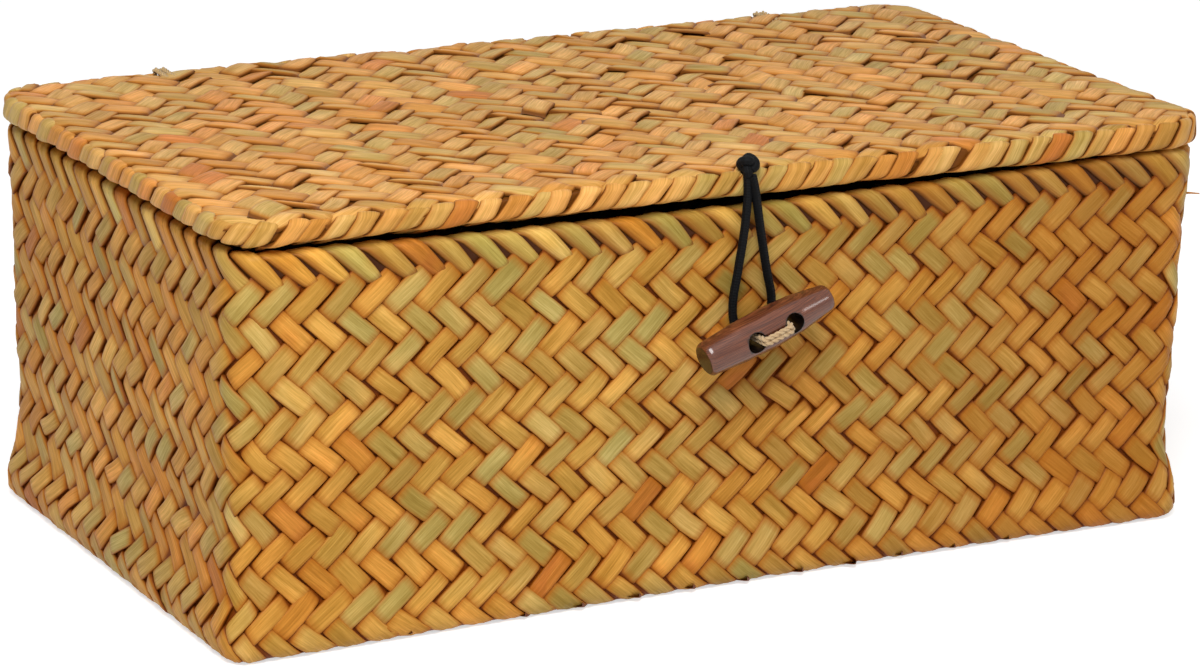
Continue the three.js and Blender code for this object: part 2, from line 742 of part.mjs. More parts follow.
// A bar along the knot's tail, from its middle into the roll
function alongTail(radius, length) {
  const bar = roundBar(radius, length).translate(0, length / 2, 0);
  bar.rotateX(-tailLean);
  return bar.translate(knotRight, knotCentreY, knotCentreZ);
}

function knotTailHole() {
  return alongTail(elasticRadius + seatGap, knotTailLength + cutOverrun);
}

function addClosure() {
  const ball = knotBall(knotHalfWidth, knotHalfDepth, knotHalfHeight);
  ball.translate(knotRight, knotCentreY, knotCentreZ);
  addPiece(box, 'closure_knot', joinUp(ball, [alongTail(elasticRadius, knotTailLength)]), elasticCord);

  const underKnotZ = knotCentreZ - knotHalfHeight - seatGap;
  const lidFrontY = -lidHalfDepth - 2 * seatGap - elasticRadius;
  const lidFrontZ = lidBottom + lidRimHeight * loopStartShare;
  const behindToggleZ = toggleHeight + toggleRadius;
  const belowShankZ = toggleHeight - twineWidth / 2 - seatGap - elasticRadius - loopSpread * loopLowShare;
  const strand = (side) => {
    const down = loopStrandShares.map(([spreadShare, acrossShare, downShare]) => [
      THREE.MathUtils.lerp(knotRight, loopRight, acrossShare) + side * loopSpread * spreadShare,
      THREE.MathUtils.lerp(lidFrontY, loopRunY, downShare),
      THREE.MathUtils.lerp(lidFrontZ, behindToggleZ, downShare),
    ]);
    return [
      [knotRight + side * (elasticRadius + seatGap), knotCentreY - elasticRadius, underKnotZ],
      ...down,
      [loopRight + side * loopSpread * loopPassShare, loopRunY, toggleHeight - elasticRadius],
    ];
  };
  const bottom = [
    [loopRight - loopSpread * loopLowLeftShare, loopRunY, belowShankZ + elasticRadius],
    [toggleRight, loopRunY, belowShankZ],
    [loopRight + loopSpread * loopLowRightShare, loopRunY, belowShankZ + elasticRadius],
  ];
  const spots = [...strand(-1), ...bottom, ...strand(1).reverse()].map((spot) => new THREE.Vector3(...spot));
  const route = new THREE.CatmullRomCurve3(spots, false, 'centripetal');
  addPiece(box, 'closure_loop', tube(route, elasticRadius, elasticRadius, rightward, loopSteps), elasticCord);
}

// Twine round both back rims, in through the lid behind its roll and out through the wall below the fold.
// The ends meet in a knot on the back of the lid's roll.
function addHingeTies() {
  const knotY = lidBack + seatGap + hingeKnotHalfDepth;
  const knotZ = lidTop - hingeKnotDrop;
  const knotReach = hingeKnotHalfHeight + seatGap;
  for (const [name, x] of Object.entries(hingePlaces)) {
    const corners = [
      [tieOuterY, knotZ + knotReach],
      [tieOuterY, tieTopZ],
      [tieInnerY, tieTopZ],
      [tieInnerY, tieHoleZ],
      [tieOuterY, tieHoleZ],
      [tieOuterY, knotZ - knotReach],
    ];
    const route = roundedRoute(corners.map(([y, z]) => new THREE.Vector3(x, y, z)), hingeBendRadius);
    const twine = tube(route, hingeTieWidth / 2, hingeTieThickness / 2, rightward, hingeTieSteps);
    addPiece(box, `hinge_tie_${name}`, twine, jute);
    const knot = knotBall(hingeKnotHalfWidth, hingeKnotHalfDepth, hingeKnotHalfHeight);
    addPiece(box, `hinge_knot_${name}`, knot.translate(x, knotY, knotZ), jute);
  }
}

addBodyWeave();
addBodyRim();
addLidPanels();
addLidRim();
addToggle();
addClosure();
addHingeTies();

export default box;
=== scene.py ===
"""A lidded box plaited from seagrass strips: its looks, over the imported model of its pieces."""

import math

import bmesh
import bpy
import numpy as np
from bpy.props import FloatProperty, FloatVectorProperty, IntProperty, PointerProperty
from mathutils import Matrix, Vector


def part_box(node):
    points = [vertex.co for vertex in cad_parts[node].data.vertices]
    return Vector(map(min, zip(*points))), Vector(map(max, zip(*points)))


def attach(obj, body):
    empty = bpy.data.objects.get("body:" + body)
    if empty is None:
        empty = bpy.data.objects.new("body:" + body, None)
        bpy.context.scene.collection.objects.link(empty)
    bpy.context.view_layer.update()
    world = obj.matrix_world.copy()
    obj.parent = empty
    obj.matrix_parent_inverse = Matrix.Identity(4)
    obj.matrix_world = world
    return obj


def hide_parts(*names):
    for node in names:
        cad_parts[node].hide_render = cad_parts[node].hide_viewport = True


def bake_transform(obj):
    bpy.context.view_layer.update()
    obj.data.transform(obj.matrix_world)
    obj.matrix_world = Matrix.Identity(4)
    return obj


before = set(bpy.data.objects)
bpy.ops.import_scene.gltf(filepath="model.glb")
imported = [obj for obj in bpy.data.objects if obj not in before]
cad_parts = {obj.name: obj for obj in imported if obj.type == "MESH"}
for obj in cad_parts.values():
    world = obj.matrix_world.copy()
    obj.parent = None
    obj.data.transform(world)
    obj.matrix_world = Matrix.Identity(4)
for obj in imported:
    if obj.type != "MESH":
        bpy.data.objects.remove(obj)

bl_info = {
    "name": "Woven lidded box",
    "version": (1, 0, 0),
    "blender": (4, 5, 0),
    "location": "View3D > Sidebar > Woven box",
    "description": "Plaits the strips, rims, closure and hinge ties of a seagrass box",
    "category": "Object",
}

MM = 0.001
TINY = 1e-6

# The box in millimetres, as its solids have it
SEAT_GAP = 0.3
BOX_WIDTH = 300
BOX_DEPTH = 162
BOX_HEIGHT = 110.5
RIM_CORNER_RADIUS = 10
BASE_CORNER_RADIUS = 7
BASE_EDGE_RADIUS = 4
WALL_WAIST = 2.2
SIDE_BOW = 2.6
RIM_SAG = 2
WAIST_SHARES = [(0, -0.3), (0.08, -0.3), (0.17, 0.75), (0.3, 1), (0.5, 0.55), (0.75, 0.3), (1, 0)]
BODY_WALL = 4.9
FOLD_HEIGHT = 9
FOLD_PROUD = 0.3
FOLD_WIDTH = 5.5
FOLD_TURN = 1.8
WALL_TOP = 101.2
LID_OVERHANG = 2
LID_HALF_WIDTH = BOX_WIDTH / 2 + LID_OVERHANG
LID_HALF_DEPTH = BOX_DEPTH / 2 + LID_OVERHANG
LID_CORNER_RADIUS = 14
LID_BOTTOM = 110.8
LID_TOP = 120.4
LID_ROLL = 3.4
LID_RIM_WIDTH = 9
LID_RIM_HEIGHT = LID_TOP - LID_BOTTOM
LID_TOP_DROP = 0.6
LID_UNDER_FLOOR = 115.3
LID_SAG = 0.8
LID_SAG_SHARE = 0.5
LID_SHOULDER = 0.12
TOP_EDGE = 1.3

# How the strips lie at the foot of the walls, and how far panels go in under what holds their edges
REST_LIFT = 0.28
FOOT_LIFT_SHARE = 0.35
FOOT_LIFT_RUN = 12
BASE_TUCK = 1.4
LID_TUCK = 1.2
TUCK_RUN = 3
TUCK_SHARE = 0.3
BASE_DIVE = 0.3
LID_DIVE = 0.6
LID_LINING_DIVE = 0.2


def to_linear(hex_colour):
    """An sRGB hex value as linear red, green, blue and alpha."""
    parts = [int(hex_colour[k : k + 2], 16) / 255 for k in (1, 3, 5)]
    return tuple([c / 12.92 if c <= 0.04045 else ((c + 0.055) / 1.055) ** 2.4 for c in parts] + [1.0])


class Outline:
    """A rounded rectangle, measured in millimetres along its edge from the front left corner to the right."""

    SIDES = [(-1, -1, 1, -1, -90), (1, -1, 1, 1, 0), (1, 1, -1, 1, 90), (-1, 1, -1, -1, 180)]

    def __init__(self, half_width, half_depth, radius):
        self.long_run = 2 * (half_width - radius)
        self.short_run = 2 * (half_depth - radius)
        self.turn_run = radius * math.pi / 2
        self.length = 2 * (self.long_run + self.short_run + 2 * self.turn_run)

    def at(self, along):
        """Place between the corners, outward direction, and the arch of the long and short sides."""
        along = np.mod(np.asarray(along, float), self.length)
        out = {key: np.zeros_like(along) for key in ("x", "y", "out_x", "out_y", "arch", "long")}
        start = 0.0
        for number, (x0, y0, x1, y1, angle) in enumerate(self.SIDES):
            run = self.long_run if number % 2 == 0 else self.short_run
            here = (along >= start) & (along < start + run)
            share = (along[here] - start) / run
            out["x"][here] = x0 + (x1 - x0) * share
            out["y"][here] = y0 + (y1 - y0) * share
            out["out_x"][here] = math.cos(math.radians(angle))
            out["out_y"][here] = math.sin(math.radians(angle))
            out["arch"][here] = np.sin(share * math.pi)
            out["long"][here] = 1.0 if number % 2 == 0 else 0.0
            start += run
            here = (along >= start) & (along < start + self.turn_run)
            turn = math.radians(angle) + (along[here] - start) / self.turn_run * math.pi / 2
            out["x"][here], out["y"][here] = x1, y1
            out["out_x"][here], out["out_y"][here] = np.cos(turn), np.sin(turn)
            start += self.turn_run
        return out

    def short_side(self, along):
        """Whether a place lies on a short side or on a corner."""
        return bool(self.at([along])["long"][0] < 0.5)


BODY_OUTLINE = Outline(BOX_WIDTH / 2, BOX_DEPTH / 2, RIM_CORNER_RADIUS)
LID_OUTLINE = Outline(LID_HALF_WIDTH, LID_HALF_DEPTH, LID_CORNER_RADIUS)


def outline_point(spot, half_width, half_depth, radius, inset, height):
    radius = np.maximum(radius - inset, SEAT_GAP)
    x = spot["x"] * (half_width - inset - radius) + spot["out_x"] * radius
    y = spot["y"] * (half_depth - inset - radius) + spot["out_y"] * radius
    return np.stack([x, y, height + 0 * x], axis=-1)


def body_point(along, height, inset):
    """A point of the body, a given inset inside its outer face."""
    spot = BODY_OUTLINE.at(along)
    share = np.clip(height / BOX_HEIGHT, 0, 1)
    waist = WALL_WAIST * np.interp(share, *zip(*WAIST_SHARES))
    radius = BASE_CORNER_RADIUS + (RIM_CORNER_RADIUS - BASE_CORNER_RADIUS) * share
    inset = inset + SIDE_BOW * spot["arch"] * spot["long"] * (1 - share)
    dip = spot["arch"] * np.where(spot["long"] > 0, 1, (BOX_DEPTH / BOX_WIDTH) ** 2)
    height = height - RIM_SAG * dip * share
    return outline_point(spot, BOX_WIDTH / 2 - waist, BOX_DEPTH / 2 - waist, radius, inset, height)


def outer_wall(along, up, lift):
    """The outer wall, rounding in under the box below BASE_EDGE_RADIUS, where the strips lie flatter."""
    radius = BASE_EDGE_RADIUS
    lift = lift * np.clip(FOOT_LIFT_SHARE + up / FOOT_LIFT_RUN, FOOT_LIFT_SHARE, 1)
    turn = np.clip((radius - up) / radius, 0, math.pi / 2)
    under = np.maximum(radius - radius * math.pi / 2 - up, 0)
    inset = radius * (1 - np.cos(turn)) + under - lift * np.cos(turn)
    height = np.where(up > radius, up, radius * (1 - np.sin(turn))) - lift * np.sin(turn)
    return body_point(along, np.maximum(height, 0), inset)


def inner_wall(along, up, lift):
    return body_point(-along, up, BODY_WALL + lift)


def tucked(across, back, half_width, half_depth, radius):
    """Pulls what passes the edge of a rounded rectangle back to it. Also says how far past the edge it was,
    and how far it lies from the middle of the corner's turn."""
    past_x = np.maximum(np.abs(across) - (half_width - radius), 0)
    past_y = np.maximum(np.abs(back) - (half_depth - radius), 0)
    out = np.hypot(past_x, past_y)
    over = np.clip(out - radius, 0, TUCK_RUN)
    pulled = np.where(out > radius, (radius + TUCK_SHARE * over) / np.maximum(out, TINY), 1)
    x = np.sign(across) * (np.abs(across) - past_x + past_x * pulled)
    y = np.sign(back) * (np.abs(back) - past_y + past_y * pulled)
    return x, y, over, np.minimum(out, radius)


def base_below(across, down, lift):
    return np.stack([across, -down, np.maximum(REST_LIFT - lift, 0)], axis=-1)


def base_inside(across, back, lift):
    """The base's lining, whose strips go in under the linings of the walls."""
    reach = BODY_WALL - BASE_TUCK
    half_width, half_depth = BOX_WIDTH / 2 - reach, BOX_DEPTH / 2 - reach
    bow = SIDE_BOW * np.cos(np.clip(across / BOX_WIDTH, -0.5, 0.5) * math.pi)
    scale = half_depth / (half_depth - bow)
    x, y, over, _ = tucked(across, back * scale, half_width, half_depth, BASE_CORNER_RADIUS)
    return np.stack([x, y / scale, BODY_WALL + lift - BASE_DIVE * over], axis=-1)


def lid_dip(x, y):
    edge = np.maximum(np.abs(x) / (BOX_WIDTH / 2), np.abs(y) / (BOX_DEPTH / 2))
    return LID_SAG * np.clip((1 - edge) / LID_SAG_SHARE, 0, 1)


def lid_above(across, back, lift):
    """The lid's top, whose strips dive in under the wraps of the roll at its edge."""
    half_width, half_depth = LID_HALF_WIDTH - TOP_EDGE, LID_HALF_DEPTH - TOP_EDGE
    x, y, over, out = tucked(across, back, half_width, half_depth, LID_CORNER_RADIUS - TOP_EDGE)
    shoulder = LID_SHOULDER * np.maximum(LID_ROLL - LID_CORNER_RADIUS + out, 0) ** 2
    height = LID_TOP - LID_TOP_DROP - lid_dip(x, y) - shoulder - LID_DIVE * over + lift
    return np.stack([x, y, height], axis=-1)


def lid_below(across, down, lift):
    """The lid's underside, whose strips go in under the wraps of its rim."""
    inset = LID_RIM_WIDTH - LID_TUCK
    half_width, half_depth = LID_HALF_WIDTH - inset, LID_HALF_DEPTH - inset
    x, y, over, _ = tucked(across, down, half_width, half_depth, LID_CORNER_RADIUS - inset)
    return np.stack([x, -y, LID_UNDER_FLOOR - lid_dip(x, y) + LID_LINING_DIVE * over - lift], axis=-1)


def rounded_profile(points, steps=10):
    """A section's inset and height against the distance along it, each corner rounded to its radius."""
    spots = [np.array(points[0][:2], float)]
    for before, corner, after in zip(points, points[1:], points[2:]):
        here = np.array(corner[:2], float)
        back = np.array(before[:2], float) - here
        ahead = np.array(after[:2], float) - here
        start = here + back / np.linalg.norm(back) * corner[2]
        end = here + ahead / np.linalg.norm(ahead) * corner[2]
        for k in range(steps + 1):
            turn = k / steps * math.pi / 2
            spots.append(here + (start - here) * (1 - math.sin(turn)) + (end - here) * (1 - math.cos(turn)))
    spots.append(np.array(points[-1][:2], float))
    spots = np.array(spots)
    keep = np.concatenate([[True], np.linalg.norm(np.diff(spots, axis=0), axis=1) > TINY])
    spots = spots[keep]
    run = distance_along(spots)
    slope = np.gradient(spots, run, axis=0)
    slope /= np.linalg.norm(slope, axis=1, keepdims=True)
    return run, spots, slope


def distance_along(path):
    return np.concatenate([[0], np.cumsum(np.linalg.norm(np.diff(path, axis=0), axis=1))])


WRAP_REACH = 2.7
WRAP_UNDERCUT = 1.2
# The roll's foot stands higher near the front left corner, where the box shows more of its rim
FOOT_RISE = 2.1
FOOT_RISE_RUN = 190
FOOT_DROP = 2
FOOT_INNER = 7.5
FOOT_INNER_RUN = 3
# Each point of a section: its inset, its height or its drop below the rim, and the radius of its corner
FOLD_PROFILE = rounded_profile([
    (-FOLD_PROUD, FOLD_HEIGHT, 0), (-FOLD_PROUD, 0, FOLD_TURN), (FOLD_WIDTH - FOLD_PROUD, 0, FOLD_TURN),
    (FOLD_WIDTH - FOLD_PROUD, FOLD_HEIGHT, 0),
])
WRAP_PROFILE = rounded_profile([
    (LID_RIM_WIDTH, LID_BOTTOM + 3, 0), (LID_RIM_WIDTH, LID_BOTTOM, 1.5), (5.2, LID_BOTTOM, 1.0),
    (0, LID_BOTTOM + WRAP_UNDERCUT, 1.6), (0, LID_TOP - 0.8, 1.9), (WRAP_REACH, LID_TOP - 1.6, 0),
])
FOLD_RUN = FOLD_PROFILE[0][-1]
WRAP_RUN = WRAP_PROFILE[0][-1]


def along_profile(profile, round_):
    run, spots, slope = profile
    place = [np.interp(round_, run, spots[:, k]) for k in (0, 1)]
    slope = [np.interp(round_, run, slope[:, k]) for k in (0, 1)]
    return place, slope


def over_fold(along, round_, lift):
    """The rim fold: from its outer foot over the rim to its inner foot."""
    (inset, below), (slope_in, slope_down) = along_profile(FOLD_PROFILE, round_)
    below = below - np.minimum(round_, 0) + np.maximum(round_ - FOLD_RUN, 0)
    return body_point(along, BOX_HEIGHT - below + lift * slope_in, inset + lift * slope_down)


def over_wrap(along, round_, lift):
    """The lid's roll: from its inner foot under and round the outside to the lid's top."""
    (inset, height), (slope_in, slope_up) = along_profile(WRAP_PROFILE, round_)
    inset = inset - lift * slope_up
    low = np.clip((LID_TOP - FOOT_DROP - height) / LID_RIM_HEIGHT, 0, 1)
    low = low * np.clip((FOOT_INNER - inset) / FOOT_INNER_RUN, 0, 1)
    from_corner = np.minimum(np.mod(along, LID_OUTLINE.length), np.mod(-along, LID_OUTLINE.length))
    height = height + FOOT_RISE * low * np.exp(-((from_corner / FOOT_RISE_RUN) ** 3))
    spot = LID_OUTLINE.at(along)
    height = height + lift * slope_in
    return outline_point(spot, LID_HALF_WIDTH, LID_HALF_DEPTH, LID_CORNER_RADIUS, inset, height)


# A float rises from under one crossing strip and sinks under the next: shares of its half length, lifts and
# stains; towards its ends the stain is painted shade where it goes under
FLOAT_RISE = [
    (-1.3, -1.15, 1), (-1.1, -0.85, 0.9), (-1, -0.34, 0.48), (-0.9, -0.11, 0.22), (-0.62, 0.03, 0.01),
    (0, 0.09, 0),
    (0.62, 0.03, 0.01), (0.9, -0.11, 0.22), (1, -0.34, 0.48), (1.1, -0.85, 0.9), (1.3, -1.15, 1),
]
# Its section: shares of its half width, lifts and stains; the stain at its edges is partly painted shade
FLOAT_SECTION = [
    (-0.98, -1.15, 1), (-1, -0.26, 0.5), (-0.9, -0.03, 0.2), (-0.62, 0.06, 0.01), (0, 0.08, 0),
    (0.62, 0.06, 0.01), (0.9, -0.03, 0.2), (1, -0.26, 0.5), (0.98, -1.15, 1),
]
# The rounder section of a strip that is wound tight over a roll
WOUND_SECTION = [
    (-0.97, -1.15, 1), (-1, -0.42, 0.75), (-0.9, -0.1, 0.2), (-0.5, 0.08, 0), (0, 0.13, 0),
    (0.5, 0.08, 0), (0.9, -0.1, 0.2), (1, -0.42, 0.75), (0.97, -1.15, 1),
]
# A strip of the rim's fold laps over its neighbour with one edge and slips under it with the other, where its
# stain is painted shade
LAPPED_SECTION = [
    (-0.98, -1.2, 1), (-1, -0.5, 0.7), (-0.86, -0.25, 0.45), (-0.55, -0.02, 0.16), (0, 0.08, 0),
    (0.6, 0.08, 0), (0.9, 0.02, 0.14), (1, -0.2, 0.4), (0.98, -1.15, 1),
]
# It comes up from the wall at its foot and goes down into the lining at its end, with painted shade at both
FOLD_RISE = [(-1, -1.4, 0.95), (-0.93, -0.8, 0.6), (-0.86, -0.25, 0.2), (-0.78, 0.05, 0)]
SHEET_LIFT = -1.2
RIM_SHEET_LIFT = -0.9


def wound_rise(shares, end_share):
    """The rise of a strip that stays on top of a roll until the ends of its run, where it goes in and takes
    painted shade.
    """
    return [(share, -0.9, 1.0) if abs(share) > end_share else (share, 0.1, 0.0) for share in shares]


class Strips:
    """Strip floats laid out flat, before they go onto the box."""

    def __init__(self):
        self.rows = []

    def add(self, centre, heading, size, strip, tint, rise=0.0, roll=0.0, curve=0.0, stain=0.0, taper=0.0):
        """Adds a float. Its size is its half length and its half width."""
        self.rows.append((*centre, *heading, *size, strip, tint, rise, roll, curve, stain, taper))

    def mesh_arrays(self, place, rise=FLOAT_RISE, section=FLOAT_SECTION, relief=1.0):
        """The floats laid on a surface: points, faces, places inside each strip, tints and depths."""
        table = np.array(self.rows, float)[:, :, None, None]
        columns = [table[:, k] for k in range(table.shape[1])]
        cx, cy, dx, dy, half_length, half_width, strip, tint, high, roll, curve, stain, taper = columns
        tau, rise_lift, rise_stain_and_shade = np.array(rise, float).T[:, None, :, None]
        nu, side_lift, side_stain_and_shade = np.array(section, float).T[:, None, None, :]
        sideways = nu * half_width * (1 - taper * np.clip(-tau, 0, 1) ** 2) + curve * tau * tau
        across = cx + tau * half_length * dx + sideways * dy
        up = cy + tau * half_length * dy - sideways * dx
        lift = relief * (rise_lift + side_lift) + high + roll * nu + 0 * across
        points = place(across.ravel(), up.ravel(), lift.ravel()) * MM
        number = np.arange(across.size).reshape(across.shape)
        corners = [number[:, :-1, :-1], number[:, :-1, 1:], number[:, 1:, 1:], number[:, 1:, :-1]]
        quads = np.stack(corners, axis=-1).reshape(-1, 4)
        spread = np.ones_like(across)
        inside = np.stack([tau * half_length * spread, nu * half_width * spread, strip * spread], axis=-1)
        # The depth sets the stain at a float's edges, which is partly painted shade, and the painted shade
        # where it goes under others
        depth = np.clip(rise_stain_and_shade + side_stain_and_shade + stain, 0, 1) * spread
        return points, quads, inside.reshape(-1, 3), (tint * spread).ravel(), depth.ravel()


def sheet_arrays(place, across, up, lift=SHEET_LIFT):
    """A sheet behind the strips, where the layer under them shows through their gaps, coloured with the dark
    pit colour as painted shade.
    """
    grid_across, grid_up = np.meshgrid(across, up, indexing="ij")
    points = place(grid_across.ravel(), grid_up.ravel(), np.full(grid_across.size, lift)) * MM
    number = np.arange(grid_across.size).reshape(grid_across.shape)
    corners = [number[:-1, :-1], number[1:, :-1], number[1:, 1:], number[:-1, 1:]]
    quads = np.stack(corners, axis=-1).reshape(-1, 4)
    inside = np.stack([grid_across.ravel(), grid_up.ravel(), 0 * grid_up.ravel()], axis=-1)
    return points, quads, inside, np.full(len(points), 0.5), np.ones(len(points))


# A direction that no cord here starts along, from which the first side of its tube is found
ASLANT = (0.31, 0.17, 0.93)


def unit_rows(vectors):
    return vectors / np.linalg.norm(vectors, axis=1, keepdims=True)


def carried_sides(tangents):
    """A side and an upward direction for each point of a path, carried along it without twist."""
    side = np.cross(tangents[0], ASLANT)
    sides = []
    for tangent in tangents:
        side = side - tangent * side.dot(tangent)
        side /= np.linalg.norm(side)
        sides.append(side)
    return np.array(sides), np.cross(tangents, np.array(sides))


def sweep(path, radius, sides=10, closed=False):
    """A round tube along points, with the distance along it and the turn round it."""
    path = np.asarray(path, float)
    if closed:
        tangents = unit_rows(np.roll(path, -1, axis=0) - np.roll(path, 1, axis=0))
    else:
        tangents = unit_rows(np.gradient(path, axis=0))
    side, upward = carried_sides(tangents)
    turn = np.arange(sides) / sides * 2 * math.pi
    radius = np.broadcast_to(np.asarray(radius, float), (len(path),))[:, None, None]
    ring = np.cos(turn)[None, :, None] * side[:, None] + np.sin(turn)[None, :, None] * upward[:, None]
    points = (path[:, None] + radius * ring).reshape(-1, 3)
    run = np.repeat(distance_along(path), sides)
    inside = np.stack([run, np.tile(turn, len(path)), np.zeros(len(points))], axis=-1)
    number = np.arange(len(points)).reshape(len(path), sides)
    ahead = np.roll(number, -1, axis=0) if closed else number[1:]
    behind = number if closed else number[:-1]
    quads = np.stack([behind, np.roll(behind, -1, axis=1), np.roll(ahead, -1, axis=1), ahead], axis=-1)
    faces = [tuple(face) for face in quads.reshape(-1, 4)]
    if not closed:
        faces += [tuple(number[0][::-1]), tuple(number[-1])]
    return points, faces, inside


def resample(path, spacing):
    path = np.asarray(path, float)
    run = distance_along(path)
    count = max(int(round(run[-1] / spacing)), 2)
    places = np.linspace(0, run[-1], count + 1)
    return np.stack([np.interp(places, run, path[:, k]) for k in range(3)], axis=-1)


def smooth_path(corners, spacing=0.3, passes=30):
    """A path through corner points, its corners eased."""
    path = resample(corners, spacing)
    for _ in range(passes):
        path[1:-1] = path[1:-1] * 0.5 + (path[:-2] + path[2:]) * 0.25
    return resample(path, spacing)


def laid_strands(path, radius, strands, pitch, start=0.0):
    """The centre lines of strands that are laid round each other along a path."""
    path = np.asarray(path, float)
    side, upward = carried_sides(unit_rows(np.gradient(path, axis=0)))
    wound = start + distance_along(path) / pitch * 2 * math.pi
    lines = []
    for strand in range(strands):
        turn = (wound + strand / strands * 2 * math.pi)[:, None]
        lines.append(path + radius * (np.cos(turn) * side + np.sin(turn) * upward))
    return lines


def merge(parts):
    """Joins parts of points, faces, inside places, tints and depths into one."""
    points, faces, inside, tints, depths, start = [], [], [], [], [], 0
    for part in parts:
        points.append(part[0])
        faces.extend(tuple(int(v) + start for v in face) for face in part[1])
        inside.append(part[2])
        tints.append(part[3] if len(part) > 3 else np.full(len(part[0]), 0.5))
        depths.append(part[4] if len(part) > 4 else np.zeros(len(part[0])))
        start += len(part[0])
    points, inside = np.concatenate(points), np.concatenate(inside)
    return points, faces, inside, np.concatenate(tints), np.concatenate(depths)


def make_piece(name, parts, material, body, replaces=()):
    """One object of the scene from merged parts, riding on a body."""
    points, faces, inside, tints, depths = merge(parts)
    mesh = bpy.data.meshes.new(name)
    mesh.from_pydata(points.tolist(), [], faces)
    place = mesh.attributes.new("strip_place", "FLOAT_VECTOR", "POINT")
    place.data.foreach_set("vector", inside.ravel().astype(np.float32))
    for layer, values in (("strip_tint", tints), ("strip_depth", depths)):
        mesh.attributes.new(layer, "FLOAT", "POINT").data.foreach_set("value", values.astype(np.float32))
    mesh.polygons.foreach_set("use_smooth", np.ones(len(mesh.polygons), dtype=bool))
    mesh.materials.append(material)
    mesh.validate()
    piece = bpy.data.objects.new(name, mesh)
    bpy.context.scene.collection.objects.link(piece)
    if body:
        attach(piece, body)
    if replaces:
        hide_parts(*replaces)
    return piece


def add_node(tree, kind, values=None, links=None, **settings):
    """Adds a shader node with its settings, socket values and links."""
    node = tree.nodes.new(kind)
    for name, value in settings.items():
        setattr(node, name, value)
    for socket, value in (values or {}).items():
        node.inputs[socket].default_value = value
    for socket, source in (links or {}).items():
        tree.links.new(source, node.inputs[socket])
    return node


def blank_material(name):
    old = bpy.data.materials.get(name)
    if old:
        bpy.data.materials.remove(old)
    material = bpy.data.materials.new(name)
    material.use_nodes = True
    material.node_tree.nodes.clear()
    return material, material.node_tree


def finish_material(tree, shader):
    add_node(tree, "ShaderNodeOutputMaterial", links={"Surface": shader.outputs[0]})


def attribute(tree, name, output):
    return add_node(tree, "ShaderNodeAttribute", attribute_name=name).outputs[output]


def ramp(tree, factor, stops):
    node = add_node(tree, "ShaderNodeValToRGB", links={"Fac": factor})
    elements = node.color_ramp.elements
    while len(elements) < len(stops):
        elements.new(0.5)
    for element, (place, colour) in zip(elements, stops):
        element.position = place
        element.color = colour
    return node.outputs["Color"]


def hex_ramp(tree, factor, stops):
    return ramp(tree, factor, [(share, to_linear(hex_colour)) for share, hex_colour in stops])


def value_ramp(tree, factor, stops):
    return ramp(tree, factor, [(place, (value, value, value, 1.0)) for place, value in stops])


# Keeps the spots of one strip's noise apart from those of the next
STRIP_STEP = 7.3


def veins(tree, place, lengthwise, crosswise, detail=3.0):
    """Noise drawn out along a strip: lengthwise and crosswise are the sizes of its spots in millimetres."""
    scaled = add_node(
        tree, "ShaderNodeVectorMath", operation="MULTIPLY",
        values={1: (1 / lengthwise, 1 / crosswise, STRIP_STEP)}, links={0: place},
    )
    noise = add_node(
        tree, "ShaderNodeTexNoise", values={"Scale": 1.0, "Detail": detail, "Roughness": 0.6},
        links={"Vector": scaled.outputs[0]},
    )
    return noise.outputs["Fac"]


def multiply_colour(tree, colour, factor):
    node = add_node(
        tree, "ShaderNodeMix", data_type="RGBA", blend_type="MULTIPLY", values={0: 1.0},
        links={6: colour, 7: factor},
    )
    return node.outputs[2]


def mix_stain_and_shade(tree, colour, share, stain):
    """Mixes a linear colour in by a share; the script lays both stains and painted shade with it."""
    node = add_node(tree, "ShaderNodeMix", data_type="RGBA", values={7: stain}, links={0: share, 6: colour})
    return node.outputs[2]


def bumped(tree, height, strength, depth):
    """The normal of a surface with a height pattern that is depth millimetres deep."""
    node = add_node(
        tree, "ShaderNodeBump", values={"Strength": strength, "Distance": depth * MM},
        links={"Height": height},
    )
    return node.outputs[0]


